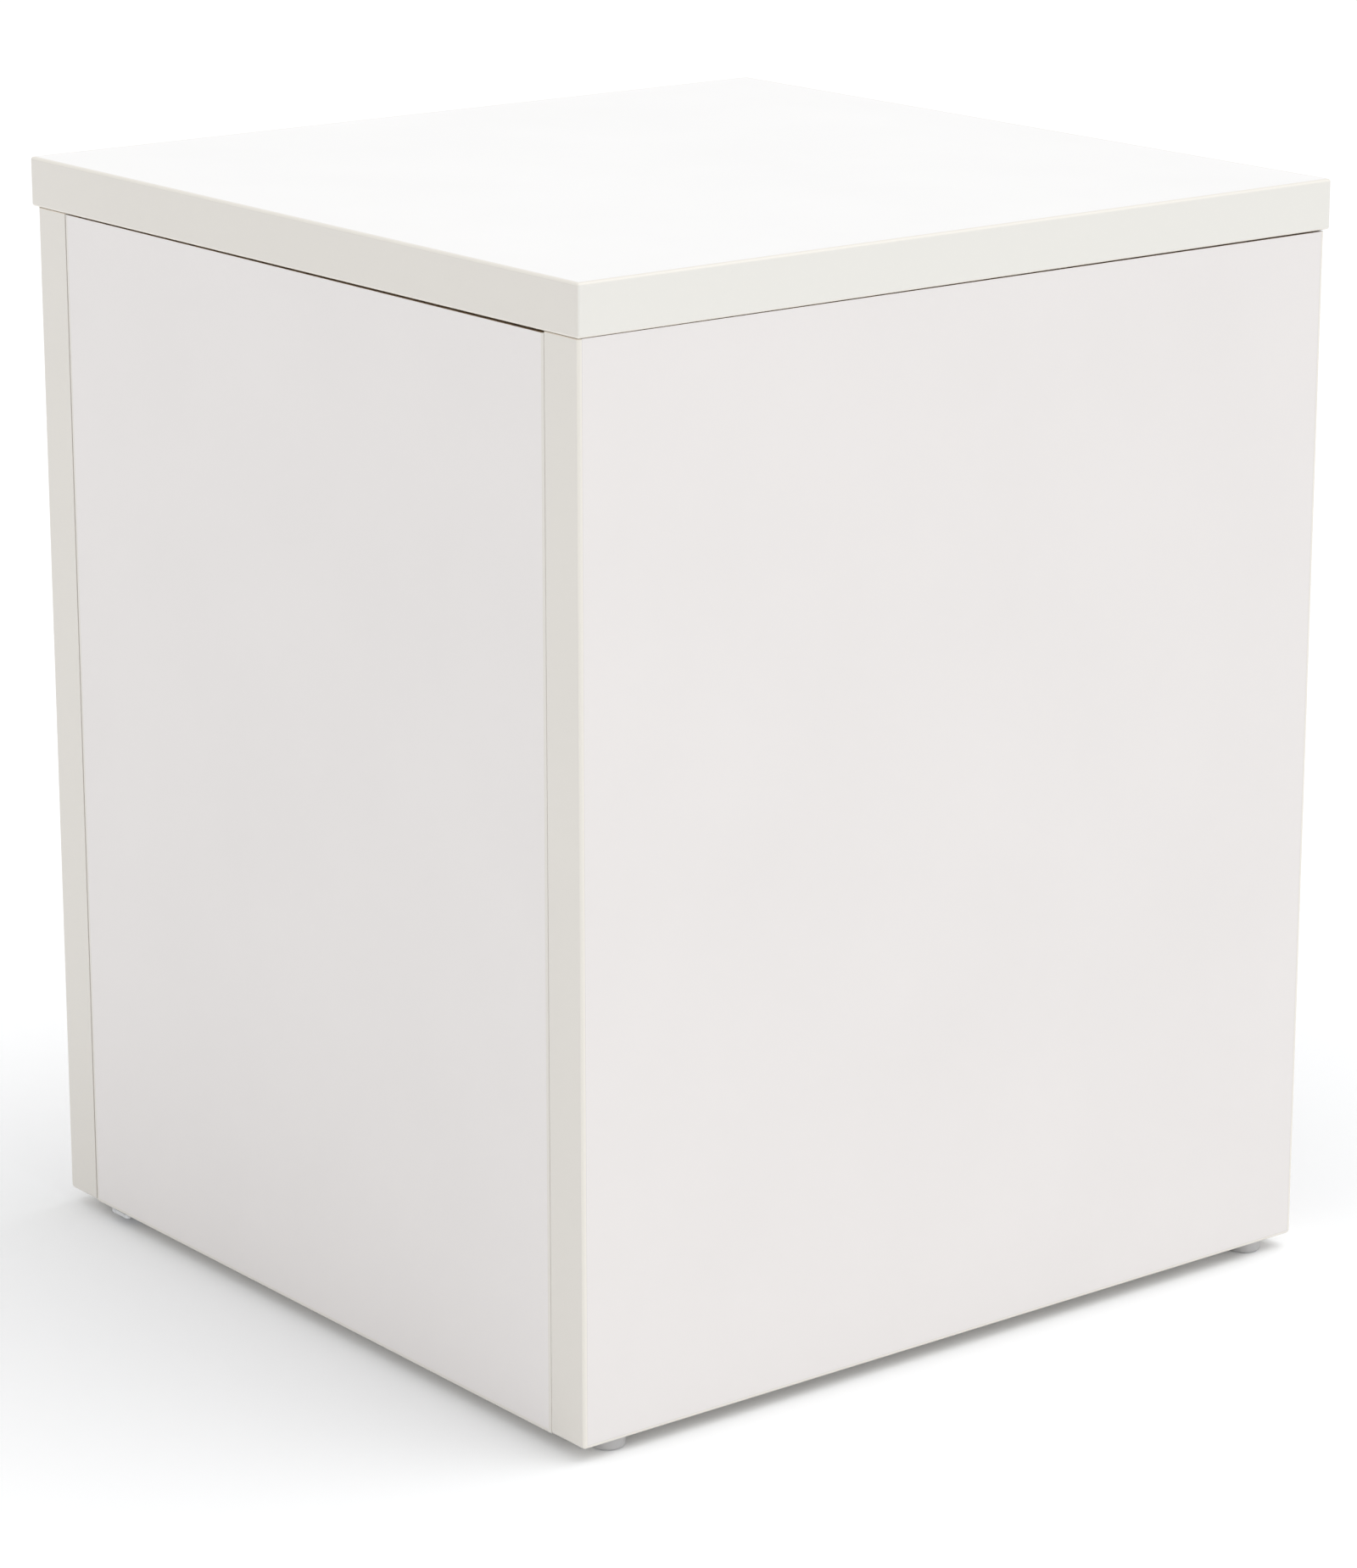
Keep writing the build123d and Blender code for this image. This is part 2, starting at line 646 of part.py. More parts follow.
# ---------------------------------------------------------------- inside the cell
def make_ice_box():
    """Evaporator folded from sheet: a sleeve, open to the front, closed at the back."""
    sleeve = block(ice_left, ice_right, ice_front, ice_back, ice_bottom, ice_top)
    sleeve = soften(sleeve, 7.0, lambda c, d: along(d, "Y"))
    hollow = block(ice_left + ice_sheet, ice_right - ice_sheet, ice_front - 1, ice_back - ice_sheet,
                   ice_bottom + ice_sheet, ice_top - ice_sheet)
    hollow = soften(hollow, 5.4, lambda c, d: along(d, "Y"))
    sleeve = sleeve - hollow
    duct_low = ice_bottom - 1.6
    for i in range(5):
        y = ice_front + 34 + i * 34
        sleeve = sleeve + block(ice_left + 18, ice_right - 18, y - 4, y + 4, duct_low, ice_bottom + 0.4)
    for x in (ice_left + 22, ice_right - 22):
        sleeve = sleeve + block(x - 4, x + 4, ice_front + 34, ice_front + 170, duct_low, ice_bottom + 0.4)
    return sleeve


def make_ice_hangers():
    """Four plastic spacers between the evaporator and the ceiling."""
    spacers = []
    for x in (ice_left + 26, ice_right - 26):
        for y in (ice_front + 30, ice_back - 30):
            stem = rod((x, y, ice_top), (x, y, room_top), 5.0)
            spacers.append(stem + rod((x, y, ice_top), (x, y, ice_top + 2), 9.0))
    return group(spacers)


def make_ice_frame():
    """Moulded front frame of the ice box: ears for the flap's trunnions, rails for the drip tray."""
    y0, y1 = ice_front - 3.5, ice_front
    ring = block(ice_left - 3, ice_right + 3, y0, y1, ice_bottom - 2, ice_top + 2)
    ring = ring - block(ice_left + 7, ice_right - 7, y0 - 1, y1 + 1, ice_bottom + 7, ice_top - 9)
    for x0, x1 in ((ice_left - 2, ice_left + 2), (ice_right - 2, ice_right + 2)):
        ear = block(x0, x1, flap_y - 4.5, y0, flap_z - 4.5, flap_z + 4.5)
        ear = soften(ear, 3.0, lambda c, d: along(d, "X") and c.Y < flap_y)
        ring = ring + ear
    for x0, x1 in ((ice_left - 3, ice_left + 3), (ice_right - 3, ice_right + 3)):
        ring = ring - rod((x0, flap_y, flap_z), (x1, flap_y, flap_z), 2.05)
    return ring + make_tray_rails()


def make_ice_flap():
    """Clear flap that hangs from two trunnions."""
    x0, x1 = ice_left + 2.5, ice_right - 2.5
    z0 = ice_bottom + 3
    plate = block(x0, x1, flap_y - 1.5, flap_y + 1.5, z0, flap_z)
    plate = soften(plate, 6.0, lambda c, d: along(d, "Y") and c.Z < ice_bottom + 20)
    plate = plate + rod((ice_left - 1.8, flap_y, flap_z), (ice_right + 1.8, flap_y, flap_z), 2.0)
    grip = block(-30 + (x0 + x1) / 2, 30 + (x0 + x1) / 2, flap_y - 9, flap_y, z0 + 8, z0 + 11)
    grip = soften(grip, 1.2, lambda c, d: c.Y < flap_y - 8 and along(d, "X"))
    return plate + grip


def make_drip_tray():
    tray = dish(ice_left + 6, ice_right - 6, ice_front - 6, ice_back - 10, ice_bottom - 25, ice_bottom - 8,
                2.0, 8.0)
    for x0, x1 in ((ice_left, ice_left + 7), (ice_right - 7, ice_right)):
        tray = tray + block(x0, x1, ice_front + 4, ice_back - 12, ice_bottom - 10, ice_bottom - 8)
    return tray


def make_tray_rails():
    """Two hooked rails beside the ice box that hold the drip tray's rims."""
    rails = Part()
    for x0, x1, side in ((ice_left - 3, ice_left - 0.6, 1), (ice_right + 0.6, ice_right + 3, -1)):
        web = block(x0, x1, ice_front - 1, ice_back - 14, ice_bottom - 12.5, ice_bottom + 20)
        lip_inner = x1 + 4.0 if side > 0 else x1
        lip_outer = x0 if side > 0 else x0 - 4.0
        lip = block(lip_outer, lip_inner, ice_front - 1, ice_back - 14, ice_bottom - 12.5, ice_bottom - 10.4)
        rails = rails + web + lip
    return rails


def make_wire_shelf():
    """Wire grid: a round frame with two cross bars and close rods."""
    x0, x1 = room_left + 3.0, room_right - 3.0
    z = upper_shelf_z + 2.4
    r = 2.2
    corners = [(x0 + 40, shelf_front, z), (x1, shelf_front, z), (x1, shelf_back, z),
               (x0, shelf_back, z), (x0, shelf_front, z), (x0 + 40, shelf_front, z)]
    frame = pipe(corners[:5] + [(x0 + 39.0, shelf_front, z)], [9.0] * 4, r)
    frame = frame + rod((x0 + 38.5, shelf_front, z), (x0 + 41, shelf_front, z), r)
    for y in (shelf_front + 70, shelf_front + 145):
        frame = frame + rod((x0, y, z - 0.6), (x1, y, z - 0.6), 1.6)
    count = 19
    for i in range(count):
        x = x0 + (i + 1) * (x1 - x0) / (count + 1)
        frame = frame + rod((x, shelf_front, z + 1.2), (x, shelf_back, z + 1.2), 1.2)
    return frame


def make_glass_shelf():
    """Glass plate with front and rear trims, level with the niche's top."""
    x0, x1 = room_left + 1.5, room_right - 1.5
    glass = block(x0, x1, shelf_front, shelf_back - 8, lower_shelf_z, lower_shelf_z + 4)
    nose = block(x0, x1, shelf_front - 6, shelf_front + 8, lower_shelf_z - 3, lower_shelf_z + 7)
    nose = soften(nose, 2.4, lambda c, d: near(c.Y, shelf_front - 6) and along(d, "X"))
    nose = nose - block(x0 - 1, x1 + 1, shelf_front, shelf_front + 9, lower_shelf_z, lower_shelf_z + 4)
    nose = nose - block(x0 - 1, x0 + 5.5, shelf_front - 7, shelf_front + 9, lower_shelf_z - 4, lower_shelf_z)
    nose = nose - block(x1 - 5.5, x1 + 1, shelf_front - 7, shelf_front + 9, lower_shelf_z - 4, lower_shelf_z)
    tail = block(x0 + 8, x1 - 8, shelf_back - 12, shelf_back - 4, lower_shelf_z, lower_shelf_z + 9)
    tail = soften(tail, 1.5, lambda c, d: near(c.Z, lower_shelf_z + 9) and along(d, "X"))
    tail = tail - block(x0 - 1, x1 + 1, shelf_back - 13, shelf_back - 8, lower_shelf_z - 1, lower_shelf_z + 4)
    return glass, group([nose, tail])


# ---------------------------------------------------------------- thermostat and lamp
def make_control_box():
    """Ceiling housing for the thermostat and the lamp, with the lamp's holder moulded in."""
    shell = block(box_left, box_right, box_front, box_back, box_bottom, room_top)
    shell = soften(shell, 6.0, lambda c, d: near(c.Z, box_bottom) or (along(d, "Z") and c.Y < 0))
    hollow = block(box_left + 2, box_right - 2, box_front + 2, box_back - 2, box_bottom + 2, room_top - 2)
    shell = shell - hollow
    shell = shell - rod((knob_x, box_front - 1, knob_z), (knob_x, box_front + 3, knob_z), 3.2)
    shell = shell - block(box_left + 12, box_right - 12, lamp_front, lamp_back,
                          box_bottom - 1, box_bottom + 3)
    for i in range(4):
        x = box_left - 1
        y = -70.0 + i * 9
        shell = shell - block(x, x + 4, y, y + 4, box_bottom + 18, box_bottom + 42)
    holder = rod((lamp_x, 24, lamp_z), (lamp_x, 38, lamp_z), 8.5)
    return shell + holder + block(lamp_x - 8, lamp_x + 8, 34, box_back - 1, lamp_z - 8, lamp_z + 8)


def make_lamp_cover():
    """Ribbed clear cover that clips into the housing's underside."""
    x0, x1 = box_left + 12.3, box_right - 12.3
    y0, y1 = lamp_front + 0.3, lamp_back - 0.3
    cover = block(x0, x1, y0, y1, box_bottom - 6, box_bottom + 4)
    cover = soften(cover, 4.0, lambda c, d: near(c.Z, box_bottom - 6))
    cover = cover - block(x0 + 1.6, x1 - 1.6, y0 + 1.6, y1 - 1.6, box_bottom - 4.4, box_bottom + 5)
    for i in range(6):
        y = y0 + 8 + i * 8.6
        cover = cover + block(x0 + 4, x1 - 4, y, y + 1.4, box_bottom - 6.8, box_bottom - 5.8)
    return cover


def make_lamp():
    """Small bulb and its screwed neck."""
    bulb = Pos(lamp_x, 6, lamp_z) * Sphere(9.0)
    return bulb + rod((lamp_x, 10, lamp_z), (lamp_x, 24, lamp_z), 5.5)


def make_thermostat():
    """Thermostat body behind the housing's face, its shaft and the knob."""
    body = block(knob_x - 16, knob_x + 16, box_front + 6, box_front + 36, knob_z - 14, knob_z + 14)
    collar = rod((knob_x, box_front + 2.2, knob_z), (knob_x, box_front + 6, knob_z), 6.0)
    body = (body + collar) - rod((knob_x, box_front, knob_z), (knob_x, box_front + 20, knob_z), 2.55)
    shaft = rod((knob_x, box_front - 12, knob_z), (knob_x, box_front + 18, knob_z), 2.5)
    seat = Plane(origin=(knob_x, box_front - 0.6, knob_z), z_dir=(0, -1, 0))
    knob = seat * Cylinder(18.0, 5.0, align=(Align.CENTER, Align.CENTER, Align.MIN))
    knob = soften(knob, 1.2, lambda c, d: c.Y < box_front - 4)
    grip = block(knob_x - 4, knob_x + 4, box_front - 17, box_front - 5, knob_z - 16, knob_z + 16)
    grip = soften(grip, 2.6, lambda c, d: c.Y < box_front - 10)
    knob = knob + grip
    for i in range(24):
        angle = 2 * pi * i / 24
        x, z = knob_x + 18.2 * cos(angle), knob_z + 18.2 * sin(angle)
        knob = knob - rod((x, box_front - 7, z), (x, box_front, z), 0.9)
    knob = knob - rod((knob_x, box_front - 13, knob_z), (knob_x, box_front + 1, knob_z), 2.5)
    return body, shaft, knob


# ---------------------------------------------------------------- cooling circuit
def make_compressor():
    """Welded pot: lower and upper domes with a weld seam, three stubs on its side."""
    seam = motor_bottom + 62
    lower = rod((motor_x, motor_y, motor_bottom), (motor_x, motor_y, seam), motor_radius)
    lower = soften(lower, 20.0, lambda c, d: near(c.Z, motor_bottom))
    upper = rod((motor_x, motor_y, seam), (motor_x, motor_y, motor_top), motor_radius - 1.5)
    upper = soften(upper, 26.0, lambda c, d: near(c.Z, motor_top))
    rim = rod((motor_x, motor_y, seam - 2), (motor_x, motor_y, seam + 2), motor_radius + 2.5)
    pot = lower + upper + rim
    for x, y, z in (suction_stub(), discharge_stub(), (motor_x + 34, motor_y + 44, motor_bottom + 40)):
        pot = pot + rod((motor_x, motor_y, z), (x, y, z), 4.2)
    return pot + make_motor_frame()


def suction_stub():
    return (motor_x - 50, motor_y + 44, motor_bottom + 84)


def discharge_stub():
    return (motor_x + 62, motor_y + 20, motor_bottom + 46)


def motor_feet():
    return [(motor_x + sx * 74, motor_y + sy * 46) for sx in (-1, 1) for sy in (-1, 1)]


def make_motor_frame():
    """Pressed feet welded under the pot."""
    z0, z1 = motor_foot_z, motor_foot_z + 3
    frame = block(motor_x - 62, motor_x + 62, motor_y - 34, motor_y + 34, z0, z1)
    for sy in (-1, 1):
        bar = block(motor_x - 86, motor_x + 86, motor_y + sy * 46 - 11, motor_y + sy * 46 + 11, z0, z1)
        frame = frame + soften(bar, 9.0, lambda c, d: along(d, "Z"))
        link = block(motor_x - 46, motor_x + 46, min(motor_y + sy * 30, motor_y + sy * 40),
                     max(motor_y + sy * 30, motor_y + sy * 40), z0, z1)
        frame = frame + link
    for x, y in motor_feet():
        frame = frame - rod((x, y, z0 - 1), (x, y, z1 + 1), 6.6)
    return frame


def make_grommets():
    mounts = []
    bolts = []
    for x, y in motor_feet():
        rubber = rod((x, y, plate_top), (x, y, motor_foot_z), 9.5)
        rubber = rubber + rod((x, y, motor_foot_z), (x, y, motor_foot_z + 3), 6.5)
        rubber = rubber + rod((x, y, motor_foot_z + 3), (x, y, motor_foot_z + 9), 8.5)
        mounts.append(rubber - rod((x, y, 0), (x, y, 100), stud_hole))
        stud = rod((x, y, floor_top - 10), (x, y, motor_foot_z + 9.2), stud_radius)
        washer = rod((x, y, motor_foot_z + 9), (x, y, motor_foot_z + 10.4), 8.0)
        head = Pos(x, y, motor_foot_z + 10.4) * extrude(RegularPolygon(5.6, 6), 4.5)
        bolts.append(stud + washer + head)
    return group(mounts), group(bolts)


def make_motor_plate():
    """Steel tray on the base panel that carries the compressor, with folded ends."""
    plate = block(in_left + 1, in_right - 1, step_front + 18.5, back - band, floor_top, plate_top)
    for x0, x1 in ((in_left + 1, in_left + 3), (in_right - 3, in_right - 1)):
        plate = plate + block(x0, x1, step_front + 18.5, back - band, floor_top, plate_top + 16)
    for x, y in motor_feet():
        plate = plate - rod((x, y, 0), (x, y, 100), stud_hole)
    return plate + make_inlet_stand()


def make_relay():
    """Starter cover clipped on the pot's left side."""
    x1 = motor_x - motor_radius - 3
    cover = block(x1 - 30, x1, motor_y - 24, motor_y + 24, motor_bottom + 16, motor_bottom + 72)
    cover = soften(cover, 4.0, lambda c, d: c.X < x1 - 20)
    for i in range(4):
        z = motor_bottom + 28 + i * 9
        cover = cover - block(x1 - 31, x1 - 28.5, motor_y - 14, motor_y + 14, z, z + 3)
    clip = block(x1 - 31.5, x1 + 1, motor_y - 26, motor_y - 24, motor_bottom + 40, motor_bottom + 48)
    return cover + clip


def serpentine():
    """Corner points of the condenser: down the back in level runs, entered by the riser."""
    points = [(riser_x, condenser_y, riser_foot), (riser_x, condenser_y, condenser_top)]
    for i in range(condenser_runs):
        far = condenser_left if i % 2 == 0 else condenser_right
        points.append((far, condenser_y, condenser_top - i * condenser_pitch))
        points.append((far, condenser_y, condenser_top - (i + 1) * condenser_pitch))
    points[-1] = (condenser_right, condenser_y, drier_top)
    return points


def make_condenser_tube():
    points = serpentine()
    bend = condenser_pitch / 2 - 0.1
    radii = [10.0] + [bend] * (len(points) - 3)
    return pipe(points, radii, tube_radius)


def make_condenser_wires():
    low = condenser_top - (condenser_runs - 1) * condenser_pitch
    offset = tube_radius + wire_radius + 0.05
    count = int((condenser_right - condenser_left - 34) / wire_pitch)
    wires = []
    for i in range(count + 1):
        x = condenser_left + 17 + i * wire_pitch
        for side in (-1, 1):
            y = condenser_y + side * offset
            wires.append(rod((x, y, low - 9), (x, y, condenser_top + 9), wire_radius))
    return group(wires)


def make_condenser_stays():
    """Plastic stand-offs that hold the condenser's end bends to the cell's back."""
    stays = []
    for x in (condenser_left + 4, condenser_right - 4):
        for row in (1, condenser_runs - 2):
            z = condenser_top - row * condenser_pitch
            stay = block(x - 6, x + 6, cell_back, condenser_y + tube_radius + 3, z - 32, z + 6)
            stay = stay - block(x - 7, x + 7, cell_back + 4, condenser_y - tube_radius - 4, z - 26, z)
            stays.append(stay)
    tube = make_condenser_tube()
    return group([stay - tube for stay in stays])


def make_drier():
    """Filter drier: a copper can with drawn-down ends."""
    x, y = condenser_right, condenser_y
    z1 = drier_top
    can = rod((x, y, z1 - 74), (x, y, z1 - 12), 8.0)
    cone_up = Pos(x, y, z1 - 6) * Cone(8.0, 3.2, 12)
    cone_low = Pos(x, y, z1 - 79) * Cone(1.8, 8.0, 10)
    return can + cone_up + cone_low


def make_capillary():
    """Thin tube from the drier, round behind the cell, and up to the evaporator."""
    x, y = condenser_right, condenser_y
    z = drier_top - 84
    points = [(x, y, z), (x, y, z - 26), (x - 40, y + 6, z - 26), (x - 40, y + 6, z + 40),
              (x - 78, y - 4, z + 40), (x - 78, y - 4, z + 84), (x - 78, cell_back + 8, z + 112),
              (capillary_x, cell_back + 8, z + 160), (capillary_x, cell_back + 8, pipe_level),
              (capillary_x, ice_back + 0.1, pipe_level)]
    return pipe(points, [9.0] * 6 + [12.0, 6.0], capillary_radius)


def make_suction():
    """Return tube from the evaporator down to the compressor."""
    x, y, z = suction_stub()
    points = [(suction_x, ice_back + 0.1, pipe_level), (suction_x, cell_back + 9, pipe_level),
              (suction_x, cell_back + 9, step_top - 4), (x - 14, y + 6, z)]
    direction = Vector(x - motor_x, y - motor_y, 0).normalized()
    outer = Vector(x, y, z) + direction * 16
    points[-1] = (outer.X, outer.Y, z)
    points.append((x, y, z))
    return pipe(points, [7.0, 12.0, 6.0], suction_radius)


def make_discharge():
    """Hot tube from the compressor to the condenser's riser."""
    x, y, z = discharge_stub()
    direction = Vector(x - motor_x, y - motor_y, 0).normalized()
    outer = Vector(x, y, z) + direction * 14
    points = [(x, y, z), (outer.X, outer.Y, z), (riser_x, condenser_y, z + 6),
              (riser_x, condenser_y, riser_foot)]
    return pipe(points, [8.0, 14.0], tube_radius)


def make_pan():
    """Evaporating pan on top of the compressor."""
    return dish(motor_x - 78, motor_x + 50, motor_y - 46, motor_y + 34, motor_top, motor_top + 20, 1.8, 12.0)


def make_drain():
    """Drain tube from the ledge of the cell to the evaporating pan."""
    x, y = middle, room_back - 30
    tube = rod((x, y, motor_top + 8), (x, y, ledge_top - 0.2), 6.0)
    lip = rod((x, y, ledge_top - 0.2), (x, y, ledge_top + 0.3), 6.0)
    return (tube + lip) - rod((x, y, 0), (x, y, 400), 4.6)


# ---------------------------------------------------------------- mains inlet
def make_inlet_stand():
    """Folded steel stand on the plate that holds the appliance inlet."""
    stand = block(inlet_x - 30, inlet_x + 30, inlet_y - 34, inlet_y - 0.1, plate_top - 0.5, inlet_z + 24)
    stand = stand - block(inlet_x - 28.5, inlet_x + 28.5, inlet_y - 32.5, inlet_y - 1.6, plate_top + 1.5,
                          inlet_z + 22.5)
    stand = stand - block(inlet_x - 14.2, inlet_x + 14.2, inlet_y - 3, inlet_y + 1, inlet_z - 10.7,
                          inlet_z + 10.7)
    return stand - rod((inlet_x + 18, inlet_y - 40, inlet_z), (inlet_x + 18, inlet_y - 30, inlet_z), 4.2)


def make_inlet():
    """Appliance inlet and its three blades."""
    body = block(inlet_x - 25, inlet_x + 25, inlet_y, inlet_y + 3, inlet_z - 14, inlet_z + 14)
    body = soften(body, 6.0, lambda c, d: along(d, "Y"))
    body = body + block(inlet_x - 14, inlet_x + 14, inlet_y - 22, inlet_y, inlet_z - 10.5, inlet_z + 10.5)
    recess = block(inlet_x - 12.2, inlet_x + 12.2, inlet_y - 16, inlet_y + 4, inlet_z - 8.3, inlet_z + 8.3)
    recess = chamfer([e for e in recess.edges()
                      if along(e.tangent_at(0.5), "Y") and e.center().Z > inlet_z], 4.0)
    body = body - recess
    blades = []
    for dx, dz in ((-7.0, -3.2), (7.0, -3.2), (0.0, 2.6)):
        blade = block(inlet_x + dx - 1, inlet_x + dx + 1, inlet_y - 21, inlet_y - 1.5,
                      inlet_z + dz - 2, inlet_z + dz + 2)
        blades.append(blade)
        body = body - blade
    return body, group(blades)


def make_inner_lead():
    """Sheathed lead inside the niche, from the inlet's stand to the starter cover."""
    x_relay = motor_x - motor_radius - 33
    y0 = inlet_y - 32.4
    points = [(inlet_x + 18, y0, inlet_z), (inlet_x + 18, y0 - 18, inlet_z - 4),
              (inlet_x + 34, y0 - 40, inlet_z - 14), (x_relay - 22, motor_y - 4, inlet_z - 8),
              (x_relay + 0.1, motor_y, motor_bottom + 24)]
    return pipe(points, [14.0, 16.0, 14.0], 3.2)


# ---------------------------------------------------------------- assembly
def make_nodes():
    nodes = {}
    nodes["top_panel"], nodes["top_edge_bands"] = make_top()
    left_core, left_strips = make_side(left, -1)
    right_core, right_strips = make_side(right, 1)
    nodes["left_side_panel"] = left_core
    nodes["right_side_panel"] = right_core
    nodes["side_edge_bands"] = group(left_strips + right_strips)
    nodes["base_panel"] = make_base()
    nodes["rear_rail"] = make_rear_rail()
    nodes["cam_discs"], nodes["cam_bolts"] = make_cams()
    nodes["dowels"] = make_dowels()
    nodes["glides"], nodes["glide_nails"] = make_feet()

    nodes["upper_hinge"] = make_upper_hinge()
    nodes["lower_hinge"] = make_lower_hinge()
    nodes["hinge_screws"] = make_hinge_screws()

    nodes["door_panel"], nodes["door_edge_bands"] = make_door_board()
    nodes["door_bushes"] = make_bushes()
    nodes["door_foam"], nodes["door_liner"] = make_door_inner()
    nodes["door_gasket"] = make_gasket()
    low, high = bin_levels()
    nodes["lower_door_bin"] = make_bin(low, lower_bin_height)
    nodes["upper_door_bin"] = make_bin(high, upper_bin_height)

    nodes["cell_wrap"], nodes["cell_foam"], nodes["cell_liner"] = make_cell()
    nodes["cell_brackets"] = make_cell_brackets()
    nodes["switch_barrel"], nodes["switch_plunger"] = make_switch()

    nodes["ice_box"] = make_ice_box()
    nodes["ice_box_spacers"] = make_ice_hangers()
    nodes["ice_box_frame"] = make_ice_frame()
    nodes["ice_box_flap"] = make_ice_flap()
    nodes["drip_tray"] = make_drip_tray()
    nodes["wire_shelf"] = make_wire_shelf()
    nodes["glass_shelf"], nodes["glass_shelf_trims"] = make_glass_shelf()

    nodes["control_housing"] = make_control_box()
    nodes["lamp_cover"] = make_lamp_cover()
    nodes["lamp_bulb"] = make_lamp()
    nodes["thermostat"], nodes["thermostat_shaft"], nodes["thermostat_knob"] = make_thermostat()

    nodes["compressor"] = make_compressor()
    nodes["compressor_grommets"], nodes["compressor_bolts"] = make_grommets()
    nodes["compressor_plate"] = make_motor_plate()
    nodes["condenser_tube"] = make_condenser_tube()
    nodes["condenser_wires"] = make_condenser_wires()
    nodes["condenser_stays"] = make_condenser_stays()
    nodes["filter_drier"] = make_drier()
    nodes["capillary_tube"] = make_capillary()
    nodes["suction_tube"] = make_suction()
    nodes["discharge_tube"] = make_discharge()
    nodes["evaporating_pan"] = make_pan()
    nodes["drain_tube"] = make_drain()
    nodes["power_inlet"], nodes["inlet_blades"] = make_inlet()
    nodes["inner_lead"] = make_inner_lead()
    nodes["starter_cover"] = make_relay() - nodes["inner_lead"]
    return nodes


def main():
    os.makedirs("parts", exist_ok=True)
    for name, shape in make_nodes().items():
        export_step(shape, f"parts/{name}.step")


main()
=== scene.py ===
"""Looks, light and camera for a compact refrigerator in a white board casing.

Metres, +Z up, the door faces -Y.  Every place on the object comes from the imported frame.
"""
import json
from math import cos, pi, radians, sin

import bmesh
import bpy
from mathutils import Matrix, Vector


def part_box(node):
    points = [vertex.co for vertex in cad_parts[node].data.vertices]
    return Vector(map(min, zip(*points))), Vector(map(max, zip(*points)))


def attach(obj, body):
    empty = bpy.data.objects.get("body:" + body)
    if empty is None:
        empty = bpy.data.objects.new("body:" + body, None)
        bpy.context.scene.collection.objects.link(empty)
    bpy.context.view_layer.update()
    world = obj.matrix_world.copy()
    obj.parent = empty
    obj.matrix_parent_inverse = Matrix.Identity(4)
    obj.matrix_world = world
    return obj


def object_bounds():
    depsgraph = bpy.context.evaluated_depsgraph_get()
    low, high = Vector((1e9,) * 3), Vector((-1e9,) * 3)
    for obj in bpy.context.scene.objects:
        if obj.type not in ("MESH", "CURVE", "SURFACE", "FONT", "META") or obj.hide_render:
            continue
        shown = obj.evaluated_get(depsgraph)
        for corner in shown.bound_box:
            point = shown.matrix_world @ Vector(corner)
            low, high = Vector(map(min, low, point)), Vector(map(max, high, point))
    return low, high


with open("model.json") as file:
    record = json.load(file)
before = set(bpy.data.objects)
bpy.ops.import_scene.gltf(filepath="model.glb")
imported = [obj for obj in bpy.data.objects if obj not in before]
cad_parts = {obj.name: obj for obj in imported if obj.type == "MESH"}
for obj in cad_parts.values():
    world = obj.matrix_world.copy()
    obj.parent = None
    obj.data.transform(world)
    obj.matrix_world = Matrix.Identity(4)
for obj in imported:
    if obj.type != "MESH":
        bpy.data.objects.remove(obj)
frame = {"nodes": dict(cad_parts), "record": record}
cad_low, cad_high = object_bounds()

MM = 0.001

# ---------------------------------------------------------------- view and light
STAND_AZIMUTH = 51.8        # degrees round the object, from the door towards the right side
STAND_DISTANCE = 2.54       # from the object's upright axis
STAND_HEIGHT = 0.957
LOOK_TURN = 51.73           # degrees to the left of straight ahead
LOOK_DOWN = 15.79
LENS = 118.0                # millimetres
SENSOR = 36.0               # millimetres along its longer side
CLIP_NEAR = 0.05
CLIP_FAR = 100.0

SKY_LEVEL = 0.825
CYCLORAMA_LEVEL = 1.0       # the white wall round the floor, seen as the background
CYCLORAMA_FADE = 7.0, 12.0  # degrees above the horizon, where it turns into the sky
KEY_TOWARDS = Vector((0.30, 0.36, 0.88))    # from the object to the softbox
KEY_STRENGTH = 1.0
KEY_SPREAD = 50.0           # degrees across, as of a wide softbox
FLOOR_SIZE = 60.0
FLOOR_WHITE = (0.952, 0.960, 0.968)
FLOOR_GLOW = 0.036          # the floor is lit a little from below, as on a light table


def make_camera():
    lens = bpy.data.cameras.new("camera")
    lens.lens = LENS
    lens.sensor_width = SENSOR
    lens.clip_start = CLIP_NEAR
    lens.clip_end = CLIP_FAR
    camera = bpy.data.objects.new("camera", lens)
    bpy.context.scene.collection.objects.link(camera)
    middle = (cad_low + cad_high) / 2
    azimuth = radians(STAND_AZIMUTH)
    camera.location = (middle.x + STAND_DISTANCE * sin(azimuth),
                       middle.y - STAND_DISTANCE * cos(azimuth),
                       STAND_HEIGHT)
    camera.rotation_euler = (radians(90.0 - LOOK_DOWN), 0.0, radians(LOOK_TURN))
    bpy.context.scene.camera = camera


